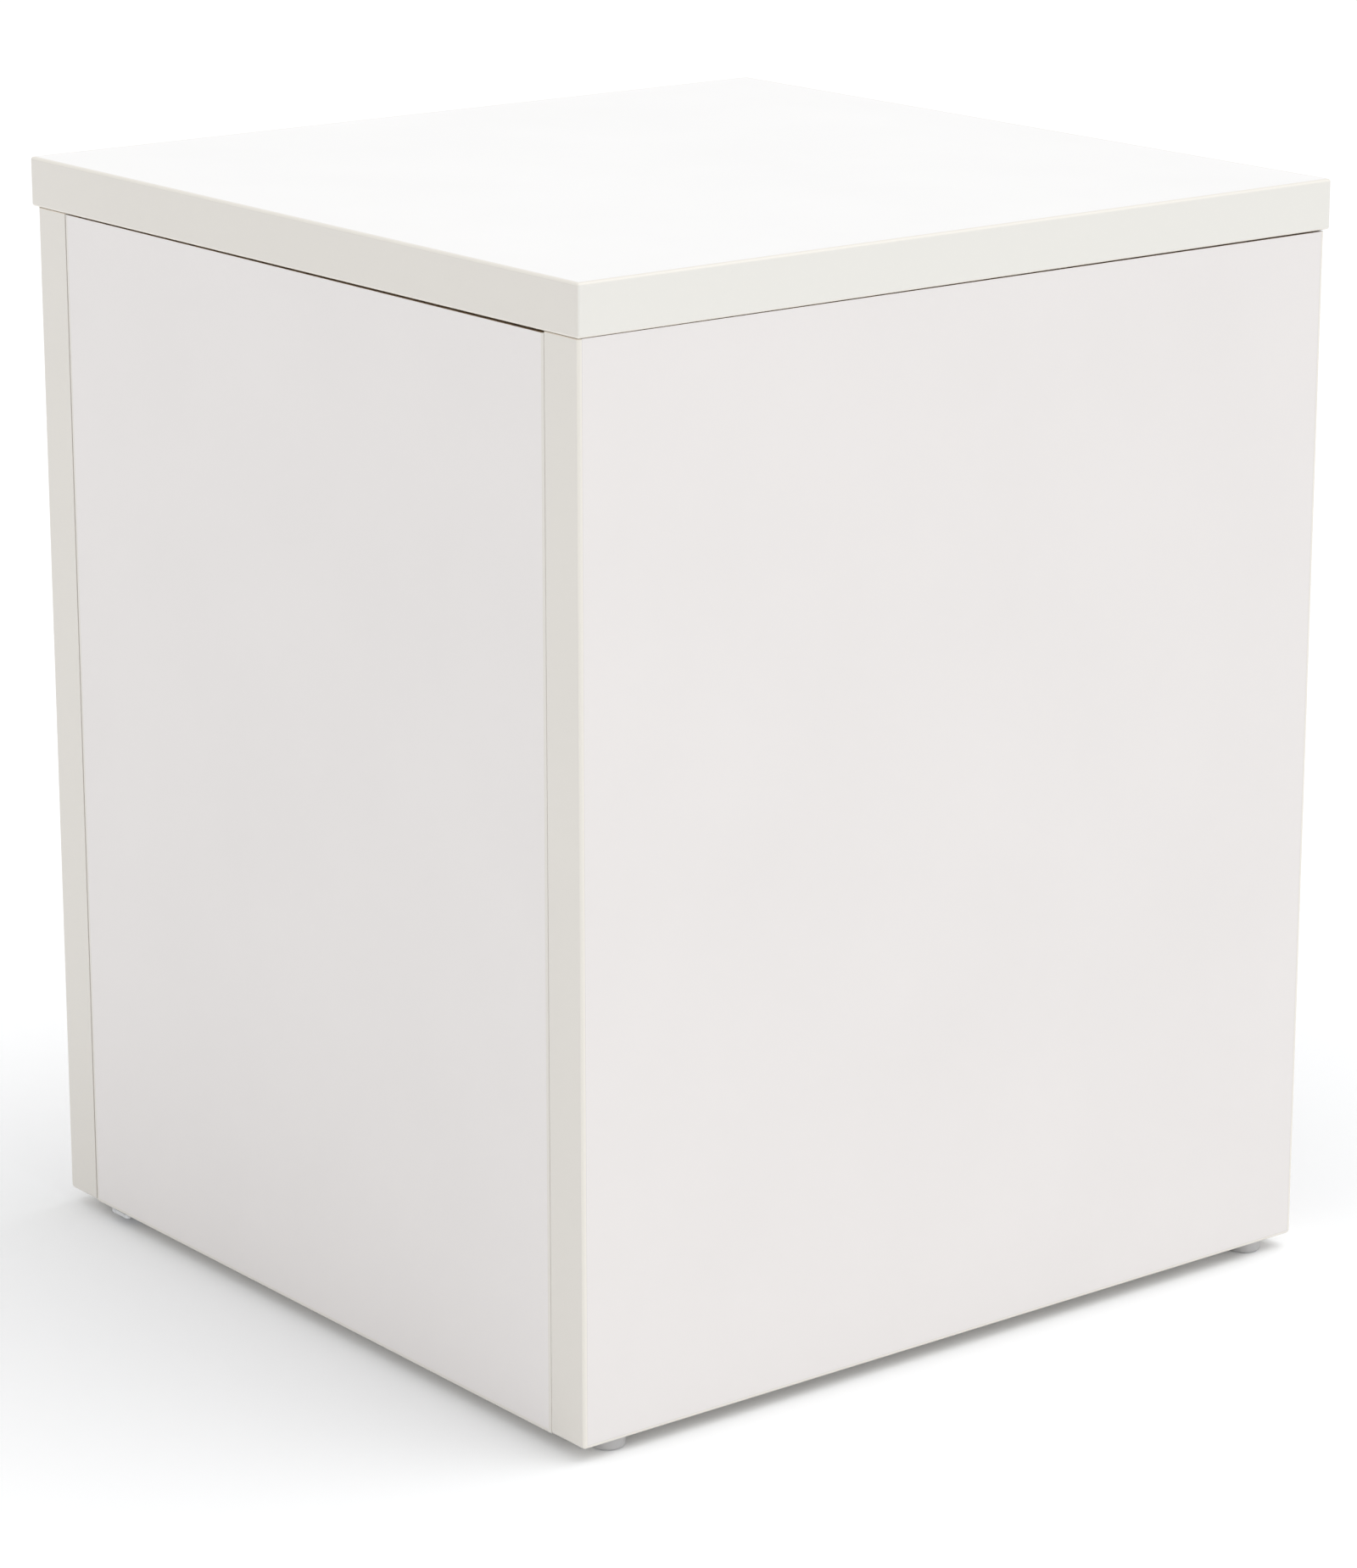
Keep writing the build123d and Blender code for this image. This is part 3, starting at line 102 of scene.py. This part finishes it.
def make_sky():
    """Even white light from all round, brightest in the low band seen behind the floor."""
    world = bpy.data.worlds.new("studio")
    world.use_nodes = True
    tree = world.node_tree
    fade_start, fade_end = CYCLORAMA_FADE
    direction = tree.nodes.new("ShaderNodeTexCoord").outputs["Generated"]
    parts = tree.nodes.new("ShaderNodeSeparateXYZ")
    tree.links.new(direction, parts.inputs[0])
    level = tree.nodes.new("ShaderNodeMapRange")
    tree.links.new(parts.outputs["Z"], level.inputs["Value"])
    level.inputs["From Min"].default_value = sin(radians(fade_start))
    level.inputs["From Max"].default_value = sin(radians(fade_end))
    level.inputs["To Min"].default_value = CYCLORAMA_LEVEL
    level.inputs["To Max"].default_value = SKY_LEVEL
    sky = tree.nodes["Background"]
    sky.inputs["Color"].default_value = (1.0, 1.0, 1.0, 1.0)
    tree.links.new(level.outputs["Result"], sky.inputs["Strength"])
    bpy.context.scene.world = world


def make_key_light():
    lamp = bpy.data.lights.new("key", "SUN")
    lamp.energy = KEY_STRENGTH
    lamp.angle = radians(KEY_SPREAD)
    key = bpy.data.objects.new("key", lamp)
    bpy.context.scene.collection.objects.link(key)
    key.rotation_euler = (-KEY_TOWARDS).to_track_quat("-Z", "Y").to_euler()


def make_floor(material):
    half = FLOOR_SIZE / 2
    corners = [(-half, -half, 0.0), (half, -half, 0.0), (half, half, 0.0), (-half, half, 0.0)]
    mesh = bpy.data.meshes.new("floor")
    mesh.from_pydata(corners, [], [(0, 1, 2, 3)])
    mesh.materials.append(material)
    floor = bpy.data.objects.new("floor", mesh)
    bpy.context.scene.collection.objects.link(floor)


# ---------------------------------------------------------------- node helpers
NOISE_LOW = 0.3             # nearly all of a noise texture lies between these
NOISE_HIGH = 0.7
MIX_SHARE = 0               # the Mix node's sockets for colours
MIX_FIRST = 6
MIX_SECOND = 7
MIX_RESULT = 2


class Surface:
    """A node material on the principled shader, with short calls for its textures."""

    def __init__(self, name, colour, roughness, **sockets):
        self.material = bpy.data.materials.new(name)
        self.material.use_nodes = True
        self.tree = self.material.node_tree
        self.shader = self.tree.nodes["Principled BSDF"]
        self.set("Base Color", (*colour, 1.0))
        self.set("Roughness", roughness)
        for socket, value in sockets.items():
            self.set(socket.replace("_", " "), value)
        self.coordinates = self.node("ShaderNodeTexCoord").outputs["Object"]

    def set(self, socket, value):
        self.shader.inputs[socket].default_value = value

    def node(self, kind, inputs=(), **settings):
        made = self.tree.nodes.new(kind)
        for name, value in settings.items():
            setattr(made, name, value)
        for slot, value in dict(inputs).items():
            self.feed(made.inputs[slot], value)
        return made

    def feed(self, socket, value):
        if isinstance(value, bpy.types.NodeSocket):
            self.tree.links.new(value, socket)
        else:
            socket.default_value = value

    def stretched(self, x, y, z):
        inputs = {"Vector": self.coordinates, "Scale": (x, y, z)}
        return self.node("ShaderNodeMapping", inputs).outputs[0]

    def noise(self, scale, detail=3.0, roughness=0.55, vector=None):
        where = self.coordinates if vector is None else vector
        inputs = {"Vector": where, "Scale": scale, "Detail": detail, "Roughness": roughness}
        return self.node("ShaderNodeTexNoise", inputs).outputs["Fac"]

    def cells(self, scale, output="Distance"):
        inputs = {"Vector": self.coordinates, "Scale": scale}
        return self.node("ShaderNodeTexVoronoi", inputs).outputs[output]

    def flakes(self, scale):
        """Cells that each have their own even grey."""
        tones = self.cells(scale, output="Color")
        return self.node("ShaderNodeRGBToBW", {"Color": tones}).outputs[0]

    def maths(self, operation, first, second=0.0):
        return self.node("ShaderNodeMath", {0: first, 1: second}, operation=operation).outputs[0]

    def spread(self, value, low, high, out_low=0.0, out_high=1.0):
        """Stretch the part of a value between low and high over the output range."""
        inputs = {"Value": value, "From Min": low, "From Max": high,
                  "To Min": out_low, "To Max": out_high}
        return self.node("ShaderNodeMapRange", inputs).outputs["Result"]

    def mottle(self, scale, detail, low=0.0, high=1.0):
        """Noise that wanders from low to high."""
        return self.spread(self.noise(scale, detail), NOISE_LOW, NOISE_HIGH, low, high)

    def blend(self, share, first, second):
        mix = self.node("ShaderNodeMix", data_type="RGBA")
        self.feed(mix.inputs[MIX_SHARE], share)
        self.feed(mix.inputs[MIX_FIRST], (*first, 1.0) if isinstance(first, tuple) else first)
        self.feed(mix.inputs[MIX_SECOND], (*second, 1.0) if isinstance(second, tuple) else second)
        return mix.outputs[MIX_RESULT]

    def use_colour(self, colour):
        self.tree.links.new(colour, self.shader.inputs["Base Color"])

    def use_roughness(self, value):
        self.tree.links.new(value, self.shader.inputs["Roughness"])

    def use_bump(self, height, depth, strength):
        bump = self.node("ShaderNodeBump", {"Height": height, "Distance": depth, "Strength": strength})
        self.tree.links.new(bump.outputs["Normal"], self.shader.inputs["Normal"])

    def use_grain(self, scale, depth, strength):
        """Fine raised grain."""
        self.use_bump(self.noise(scale, detail=2.0), depth, strength)

    def axis(self, name):
        parts = self.node("ShaderNodeSeparateXYZ", {"Vector": self.coordinates})
        return parts.outputs[name]

    def facing(self, name):
        """How far the surface faces along a world axis, from -1 to 1."""
        normal = self.node("ShaderNodeNewGeometry").outputs["Normal"]
        return self.node("ShaderNodeSeparateXYZ", {"Vector": normal}).outputs[name]

    def near_plane(self, name, place, reach):
        """1 within reach of a plane across an axis, 0 elsewhere."""
        gap = self.maths("ABSOLUTE", self.maths("SUBTRACT", self.axis(name), place))
        return self.maths("LESS_THAN", gap, reach)

    def either(self, masks):
        joined = masks[0]
        for mask in masks[1:]:
            joined = self.maths("MAXIMUM", joined, mask)
        return joined


def shade(colour, factor):
    return tuple(min(1.0, channel * factor) for channel in colour)


# ---------------------------------------------------------------- board casing
BOARD_WHITE = (0.778, 0.749, 0.736)
# painted light: the top slab is the same melamine as the sides, given a lighter, nearly neutral white
# so that its face reads as lit from above
TOP_WHITE_PAINTED_LIGHT = (0.900, 0.896, 0.892)
BAND_CREAM = (0.727, 0.698, 0.650)
# paler edge lines on the banding: trim whitening together with a painted highlight on the rounded edges
TRIM_CREAM_AND_HIGHLIGHT = (0.85, 0.815, 0.745)
BAND_WHITE = (0.775, 0.762, 0.720)
SEAM_LILAC = (0.60, 0.57, 0.575)
# painted shadow: a tan line standing in for the shaded slit where the side strips meet the slab above
SLIT_SHADOW_TAN = (0.60, 0.50, 0.38)
SPECK_GREY = (0.56, 0.53, 0.5)
CHIP_LIGHT = (0.50, 0.36, 0.22)
CHIP_DARK = (0.22, 0.14, 0.08)
SEAM_REACH = 0.28 * MM      # half widths of the fine lines along edges
SLIT_SHADOW_REACH = 0.4 * MM
SLAB_TRIM_AND_HIGHLIGHT_REACH = 1.1 * MM
CORNER_TRIM_AND_HIGHLIGHT_REACH = 1.2 * MM
SEAM_STRENGTH = 0.55        # shares of the line's colour in it
TRIM_AND_HIGHLIGHT_STRENGTH = 0.6
SLIT_SHADOW_STRENGTH = 0.7
FACES_UP = 0.9              # least share of the normal along the axis
FACES_RIGHT = 0.7


def chipboard(s):
    """Colour of a bare sawn edge: pressed wood flakes."""
    return s.blend(s.flakes(700.0), CHIP_DARK, CHIP_LIGHT)


def board(name, seams=(), white=BOARD_WHITE, bare_top=False):
    """Melamine-faced board: fine pearled face, faint clouds, stray specks, glue lines at bands."""
    s = Surface(name, white, 0.36)
    cloud = s.mottle(9.0, 4.0)
    colour = s.blend(cloud, shade(white, 0.988), shade(white, 1.008))
    dots = s.maths("LESS_THAN", s.cells(26.0), 0.011)
    kept = s.maths("GREATER_THAN", s.noise(31.0, 0.0), 0.6)
    specks = s.maths("MULTIPLY", dots, kept)
    colour = s.blend(specks, colour, SPECK_GREY)
    if seams:
        lines = s.either([s.near_plane(axis, place, SEAM_REACH) for axis, place in seams])
        colour = s.blend(s.maths("MULTIPLY", lines, SEAM_STRENGTH), colour, SEAM_LILAC)
    if bare_top:
        upward = s.maths("GREATER_THAN", s.facing("Z"), FACES_UP)
        colour = s.blend(upward, colour, chipboard(s))
    s.use_colour(colour)
    handled = s.noise(5.0, 5.0, 0.6, s.stretched(1.0, 1.0, 0.4))
    s.use_roughness(s.spread(handled, 0.25, 0.75, 0.31, 0.42))
    s.use_grain(1400.0, 0.02 * MM, 0.35)
    return s.material


def edge_band(name, lines=(), joints=(), white_right=False):
    """Plastic banding: warmer than the board; paler along its cut edges, partly from trimming and
    partly a painted highlight where the rounded edges catch the light; a tan painted shadow along the
    lines given where it meets a part above.

    With white_right, the strip that faces right is from a whiter roll.
    """
    s = Surface(name, BAND_CREAM, 0.34)
    drift = s.mottle(7.0, 3.0)
    colour = s.blend(drift, shade(BAND_CREAM, 0.985), shade(BAND_CREAM, 1.01))
    if white_right:
        rightward = s.maths("GREATER_THAN", s.facing("X"), FACES_RIGHT)
        colour = s.blend(rightward, colour, BAND_WHITE)
    if lines:
        # Paler lines along the band's edges: partly trim whitening, partly a painted highlight where
        # the rounded edges catch the light.
        trim_and_highlight = s.either([s.near_plane(axis, place, reach) for axis, place, reach in lines])
        colour = s.blend(s.maths("MULTIPLY", trim_and_highlight, TRIM_AND_HIGHLIGHT_STRENGTH), colour, TRIM_CREAM_AND_HIGHLIGHT)
    if joints:
        # Tan painted shadow for the slit under the slab, drawn on the band's face where it meets the
        # part above.
        slit_shade = s.either([s.near_plane(axis, place, reach) for axis, place, reach in joints])
        colour = s.blend(s.maths("MULTIPLY", slit_shade, SLIT_SHADOW_STRENGTH), colour, SLIT_SHADOW_TAN)
    s.use_colour(colour)
    grain = s.noise(700.0, 2.0, 0.5)
    s.use_roughness(s.spread(grain, NOISE_LOW, NOISE_HIGH, 0.30, 0.38))
    s.use_bump(grain, 0.02 * MM, 0.3)
    return s.material


# ---------------------------------------------------------------- metals
def zinc_steel(name):
    """Bright zinc plate with a soft crystal pattern and a few dull patches."""
    dull = (0.62, 0.63, 0.65)
    bright = (0.76, 0.765, 0.77)
    s = Surface(name, (0.70, 0.71, 0.72), 0.34, Metallic=1.0)
    s.use_colour(s.blend(s.flakes(420.0), dull, bright))
    s.use_roughness(s.mottle(60.0, 4.0, 0.26, 0.44))
    s.use_grain(2500.0, 0.01 * MM, 0.4)
    return s.material


def painted_steel(name):
    """Prepainted grey sheet with a light orange peel."""
    cool = (0.50, 0.51, 0.525)
    light = (0.55, 0.56, 0.57)
    s = Surface(name, (0.52, 0.53, 0.54), 0.42)
    s.use_colour(s.blend(s.noise(12.0, 4.0), cool, light))
    s.use_roughness(s.mottle(35.0, 3.0, 0.36, 0.48))
    s.use_grain(650.0, 0.03 * MM, 0.4)
    return s.material


def rolled_aluminium(name):
    """Roll-bonded evaporator sheet: fine rolling lines and a light bloom."""
    clean = (0.82, 0.83, 0.84)
    bloomed = (0.72, 0.73, 0.75)
    s = Surface(name, (0.80, 0.81, 0.82), 0.32, Metallic=1.0)
    lines = s.noise(220.0, 3.0, 0.6, s.stretched(1.0, 0.03, 1.0))
    bloom = s.spread(s.noise(40.0, 4.0), 0.45, 0.7)
    s.use_colour(s.blend(bloom, clean, bloomed))
    s.use_roughness(s.spread(lines, NOISE_LOW, NOISE_HIGH, 0.24, 0.42))
    s.use_bump(lines, 0.02 * MM, 0.4)
    return s.material


def black_paint(name):
    """Stoved black paint with dust settled on what faces up."""
    black = (0.018, 0.018, 0.02)
    dust = (0.23, 0.22, 0.20)
    s = Surface(name, black, 0.3)
    patches = s.spread(s.noise(70.0, 5.0), 0.35, 0.7, 0.15, 0.5)
    dusty = s.maths("MULTIPLY", s.spread(s.facing("Z"), 0.2, 1.0), patches)
    s.use_colour(s.blend(dusty, black, dust))
    s.use_roughness(s.spread(dusty, 0.0, 0.5, 0.28, 0.7))
    s.use_bump(s.noise(500.0, 3.0), 0.04 * MM, 0.35)
    return s.material


def copper(name):
    """Drawn copper tube, partly tarnished."""
    bright = (0.83, 0.46, 0.30)
    brown = (0.46, 0.25, 0.17)
    s = Surface(name, (0.80, 0.43, 0.27), 0.26, Metallic=1.0)
    tarnish = s.spread(s.noise(55.0, 5.0, 0.65), 0.42, 0.68)
    s.use_colour(s.blend(tarnish, bright, brown))
    s.use_roughness(s.spread(tarnish, 0.0, 1.0, 0.2, 0.46))
    s.use_grain(900.0, 0.01 * MM, 0.35)
    return s.material


def brass(name):
    """Stamped brass, rubbed along its length."""
    dull = (0.78, 0.62, 0.32)
    bright = (0.88, 0.74, 0.42)
    s = Surface(name, (0.83, 0.68, 0.36), 0.2, Metallic=1.0)
    rubbed = s.noise(500.0, 3.0, 0.6, s.stretched(1.0, 0.06, 1.0))
    s.use_colour(s.blend(rubbed, dull, bright))
    s.use_roughness(s.spread(rubbed, NOISE_LOW, NOISE_HIGH, 0.14, 0.3))
    return s.material


# ---------------------------------------------------------------- plastics, rubber and foam
MOULDINGS = {               # by slot: colour, roughness, scale and depth of the grain
    "bush_nylon": ((0.80, 0.79, 0.74), 0.42, 900.0, 0.02 * MM),
    "white_moulding": ((0.83, 0.845, 0.85), 0.36, 900.0, 0.02 * MM),
    "shelf_wire": ((0.86, 0.87, 0.87), 0.2, 500.0, 0.03 * MM),
    "black_plastic": ((0.025, 0.025, 0.027), 0.42, 1200.0, 0.03 * MM),
    "knob_plastic": ((0.72, 0.74, 0.76), 0.24, 900.0, 0.02 * MM),
    "pan_plastic": ((0.28, 0.29, 0.30), 0.5, 900.0, 0.02 * MM),
}


def moulded(name):
    """Injection moulded plastic: fine spark grain, slight gloss and tone drift."""
    colour, roughness, grain, depth = MOULDINGS[name]
    s = Surface(name, colour, roughness)
    drift = s.mottle(14.0, 3.0)
    s.use_colour(s.blend(drift, shade(colour, 0.965), shade(colour, 1.02)))
    s.use_roughness(s.mottle(60.0, 3.0, roughness - 0.05, roughness + 0.06))
    s.use_grain(grain, depth, 0.35)
    return s.material


def liner_plastic(name):
    """Vacuum formed polystyrene: glossy, with a long soft ripple left by the mould."""
    colour = (0.87, 0.885, 0.895)
    s = Surface(name, colour, 0.18)
    drift = s.mottle(6.0, 3.0)
    s.use_colour(s.blend(drift, shade(colour, 0.98), shade(colour, 1.01)))
    s.use_roughness(s.mottle(18.0, 4.0, 0.14, 0.26))
    s.use_grain(90.0, 0.05 * MM, 0.35)
    return s.material


def clear_plastic(name):
    """Clear polystyrene with faint flow lines."""
    s = Surface(name, (0.93, 0.965, 0.975), 0.07, Transmission_Weight=0.94, IOR=1.49)
    flow = s.noise(60.0, 4.0, 0.6, s.stretched(0.3, 1.0, 1.0))
    s.use_roughness(s.spread(flow, 0.35, 0.75, 0.04, 0.14))
    s.use_bump(flow, 0.05 * MM, 0.3)
    return s.material


def shelf_glass(name):
    """Float glass: nearly flat, with a trace of wiped-on haze."""
    s = Surface(name, (0.86, 0.955, 0.925), 0.02, Transmission_Weight=1.0, IOR=1.52)
    haze = s.noise(25.0, 5.0, 0.6, s.stretched(1.0, 0.35, 1.0))
    s.use_roughness(s.spread(haze, 0.45, 0.75, 0.02, 0.11))
    return s.material


def lamp_glass(name):
    """Frosted bulb."""
    s = Surface(name, (0.95, 0.92, 0.84), 0.45, Transmission_Weight=0.55, IOR=1.5)
    s.use_grain(1500.0, 0.02 * MM, 0.5)
    s.use_roughness(s.mottle(120.0, 3.0, 0.38, 0.5))
    return s.material


def foam(name):
    """Poured polyurethane foam with its open skin."""
    amber = (0.74, 0.62, 0.35)
    cream = (0.85, 0.75, 0.49)
    s = Surface(name, (0.80, 0.69, 0.42), 0.85)
    pores = s.cells(850.0)
    tone = s.mottle(22.0, 5.0)
    s.use_colour(s.blend(tone, amber, cream))
    s.use_bump(pores, 0.4 * MM, 0.6)
    return s.material


def vinyl(name):
    """Soft extruded door seal."""
    dark = (0.58, 0.585, 0.59)
    light = (0.66, 0.665, 0.67)
    s = Surface(name, (0.62, 0.625, 0.63), 0.5)
    along = s.noise(400.0, 2.0, 0.5, s.stretched(1.0, 1.0, 0.05))
    s.use_colour(s.blend(s.noise(16.0, 3.0), dark, light))
    s.use_roughness(s.spread(along, NOISE_LOW, NOISE_HIGH, 0.42, 0.58))
    s.use_bump(along, 0.03 * MM, 0.4)
    return s.material


def rubber(name):
    """Matt black rubber, slightly greyed."""
    black = (0.022, 0.022, 0.024)
    greyed = (0.06, 0.058, 0.056)
    s = Surface(name, (0.03, 0.03, 0.032), 0.65)
    s.use_colour(s.blend(s.noise(80.0, 4.0), black, greyed))
    s.use_grain(1100.0, 0.04 * MM, 0.5)
    return s.material


def beech(name):
    """Beech pegs: fibres drawn out along both ways that the pegs lie, upright and from side to side."""
    brown = (0.55, 0.37, 0.22)
    pale = (0.72, 0.54, 0.35)
    s = Surface(name, (0.63, 0.45, 0.28), 0.6)
    fibre = s.noise(500.0, 4.0, 0.6, s.stretched(0.12, 1.0, 0.12))
    s.use_colour(s.blend(fibre, brown, pale))
    s.use_bump(fibre, 0.08 * MM, 0.5)
    return s.material


def glide_plastic(name):
    """Milky polyethylene that lets a little light through."""
    grey = (0.58, 0.575, 0.58)
    warm = (0.70, 0.69, 0.68)
    s = Surface(name, (0.66, 0.66, 0.66), 0.38, Transmission_Weight=0.25, IOR=1.5)
    s.use_colour(s.blend(s.noise(150.0, 3.0), grey, warm))
    s.use_roughness(s.mottle(300.0, 2.0, 0.32, 0.46))
    s.use_grain(1300.0, 0.02 * MM, 0.4)
    return s.material


def ink(name):
    """Dull grey pad print, slightly uneven."""
    dense = (0.08, 0.09, 0.10)
    thin = (0.15, 0.16, 0.17)
    s = Surface(name, (0.10, 0.11, 0.12), 0.55)
    s.use_colour(s.blend(s.noise(900.0, 3.0), dense, thin))
    s.use_roughness(s.mottle(400.0, 2.0, 0.48, 0.62))
    s.use_grain(2500.0, 0.01 * MM, 0.3)
    return s.material


def floor_surface():
    s = Surface("floor_white", FLOOR_WHITE, 0.8, Emission_Strength=FLOOR_GLOW)
    s.set("Emission Color", (1.0, 1.0, 1.0, 1.0))
    s.use_colour(s.blend(s.noise(3.0, 3.0), shade(FLOOR_WHITE, 0.995), shade(FLOOR_WHITE, 1.005)))
    return s.material


# ---------------------------------------------------------------- finishes by slot
FINISHES = {
    "zinc_steel": zinc_steel,
    "dowel_beech": beech,
    "glide_plastic": glide_plastic,
    "bush_nylon": moulded,
    "foam": foam,
    "liner_plastic": liner_plastic,
    "gasket_vinyl": vinyl,
    "clear_plastic": clear_plastic,
    "wrap_steel": painted_steel,
    "ice_box_aluminium": rolled_aluminium,
    "white_moulding": moulded,
    "shelf_wire": moulded,
    "shelf_glass": shelf_glass,
    "lamp_glass": lamp_glass,
    "black_plastic": moulded,
    "knob_plastic": moulded,
    "black_paint": black_paint,
    "black_rubber": rubber,
    "copper": copper,
    "pan_plastic": moulded,
    "blade_brass": brass,
}


def side_panel_seams(node):
    low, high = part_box(node)
    return [("Y", low.y), ("Y", high.y), ("Z", low.z)]


def slab_seams():
    low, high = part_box("top_panel")
    return [("X", low.x), ("X", high.x), ("Y", low.y), ("Y", high.y)]


def slab_band_lines():
    low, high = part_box("top_edge_bands")
    return [("Z", low.z, SLAB_TRIM_AND_HIGHLIGHT_REACH), ("Z", high.z, SLAB_TRIM_AND_HIGHLIGHT_REACH)]


def side_band_lines():
    low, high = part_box("side_edge_bands")
    return [("X", low.x, CORNER_TRIM_AND_HIGHLIGHT_REACH), ("X", high.x, CORNER_TRIM_AND_HIGHLIGHT_REACH)]


# Where the side strips meet the slab: the line for the painted slit shadow.
def side_band_joints():
    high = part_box("side_edge_bands")[1]
    return [("Z", high.z, SLIT_SHADOW_REACH)]


def casing_finishes():
    """Board and banding; the top and side panels carry the glue lines at their own edges."""
    left_seams = side_panel_seams("left_side_panel")
    right_seams = side_panel_seams("right_side_panel")
    plain = board("melamine_plain")
    return {
        # the top slab takes the lighter white: painted light on its upward face
        "top_panel": board("melamine_top", slab_seams(), TOP_WHITE_PAINTED_LIGHT),
        "left_side_panel": board("melamine_left", left_seams, bare_top=True),
        "right_side_panel": board("melamine_right", right_seams, bare_top=True),
        "door_panel": board("melamine_door", bare_top=True),
        "base_panel": plain,
        "rear_rail": plain,
        "top_edge_bands": edge_band("banding_top", slab_band_lines(), white_right=True),
        "side_edge_bands": edge_band("banding_sides", side_band_lines(), side_band_joints()),
        "door_edge_bands": edge_band("banding_door"),
    }


def dress_nodes():
    casing = casing_finishes()
    by_slot = {}
    for subpart in frame["record"]["subparts"]:
        node, slot = subpart["node"], subpart["material_slot"]
        if node in casing:
            material = casing[node]
        else:
            if slot not in by_slot:
                by_slot[slot] = FINISHES[slot](slot)
            material = by_slot[slot]
        slots = frame["nodes"][node].data.materials
        slots.clear()
        slots.append(material)


# ---------------------------------------------------------------- thermostat's printed scale
SCALE_STEPS = 5             # the scale's last digit
SCALE_SWEEP = 270.0         # degrees, anticlockwise from the top as seen from the front
SCALE_TICKS = 20
TICK_RADIUS = 20.6 * MM
TICK_WIDTH = 0.6 * MM
TICK_LONG = 2.4 * MM        # at the digits
TICK_SHORT = 1.4 * MM
DIGIT_RADIUS = 25.4 * MM
DIGIT_SIZE = 5.4 * MM
MARK_RADIUS = 8.5 * MM      # the mark on the knob's grip
MARK_WIDTH = 1.2 * MM
MARK_LENGTH = 7.5 * MM
PRINT_THICKNESS = 0.08 * MM
ROUND_END_STEPS = 8         # straight steps in a half circle
WELD = 0.005 * MM           # printed points closer than this become one


def bar(bm, middle, turn, width, length):
    """Printed bar with round ends on a face that looks along -Y, turned about that direction."""
    outline = []
    for end in (1, -1):
        for i in range(ROUND_END_STEPS + 1):
            angle = pi * i / ROUND_END_STEPS
            x = end * width / 2 * cos(angle)
            z = end * ((length - width) / 2 + width / 2 * sin(angle))
            outline.append((x, z))
    place = Matrix.Translation(middle) @ Matrix.Rotation(-turn, 4, "Y")
    front = [bm.verts.new(place @ Vector((x, -PRINT_THICKNESS, z))) for x, z in outline]
    rear = [bm.verts.new(place @ Vector((x, 0.0, z))) for x, z in outline]
    bm.faces.new(front)
    bm.faces.new(rear[::-1])
    for i in range(len(outline)):
        j = (i + 1) % len(outline)
        bm.faces.new((front[j], front[i], rear[i], rear[j]))


def digit(bm, number, middle):
    """Printed digit that stands upright on a face that looks along -Y."""
    text = bpy.data.curves.new("digit", "FONT")
    text.body = str(number)
    text.size = DIGIT_SIZE
    text.extrude = PRINT_THICKNESS / 2
    text.align_x = "CENTER"
    text.align_y = "CENTER"
    carrier = bpy.data.objects.new("digit", text)
    bpy.context.scene.collection.objects.link(carrier)
    bpy.context.view_layer.update()
    mesh = bpy.data.meshes.new_from_object(carrier)
    upright = Matrix.Translation(middle) @ Matrix.Rotation(radians(90.0), 4, "X")
    mesh.transform(upright)
    bm.from_mesh(mesh)
    bpy.data.objects.remove(carrier)
    bpy.data.curves.remove(text)
    bpy.data.meshes.remove(mesh)


def finish_print(bm, name, body, material):
    bmesh.ops.remove_doubles(bm, verts=bm.verts, dist=WELD)
    bmesh.ops.recalc_face_normals(bm, faces=bm.faces)
    mesh = bpy.data.meshes.new(name)
    bm.to_mesh(mesh)
    bm.free()
    mesh.materials.append(material)
    piece = bpy.data.objects.new(name, mesh)
    bpy.context.scene.collection.objects.link(piece)
    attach(piece, body)


def make_dial():
    """Ticks and digits round the thermostat knob, and the mark on its grip."""
    low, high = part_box("thermostat_knob")
    face_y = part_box("control_housing")[0].y
    centre = Vector(((low.x + high.x) / 2, face_y, (low.z + high.z) / 2))
    print_ink = ink("pad_print")

    def around(radius, share):
        """Place on the scale at a share of its sweep, and the turn that points outwards there."""
        turn = radians(SCALE_SWEEP * share)
        return centre + Vector((-radius * sin(turn), 0.0, radius * cos(turn))), turn

    scale = bmesh.new()
    for i in range(SCALE_TICKS + 1):
        middle, turn = around(TICK_RADIUS, i / SCALE_TICKS)
        at_digit = i % (SCALE_TICKS // SCALE_STEPS) == 0
        bar(scale, middle, turn, TICK_WIDTH, TICK_LONG if at_digit else TICK_SHORT)
    for i in range(SCALE_STEPS + 1):
        middle = around(DIGIT_RADIUS, i / SCALE_STEPS)[0]
        digit(scale, SCALE_STEPS - i, middle - Vector((0.0, PRINT_THICKNESS / 2, 0.0)))
    finish_print(scale, "dial_scale", "cabinet", print_ink)

    mark = bmesh.new()
    bar(mark, Vector((centre.x, low.y, centre.z + MARK_RADIUS)), 0.0, MARK_WIDTH, MARK_LENGTH)
    finish_print(mark, "knob_mark", "knob", print_ink)


make_camera()
make_sky()
make_key_light()
make_floor(floor_surface())
dress_nodes()
make_dial()
bpy.context.scene.view_settings.view_transform = "Standard"
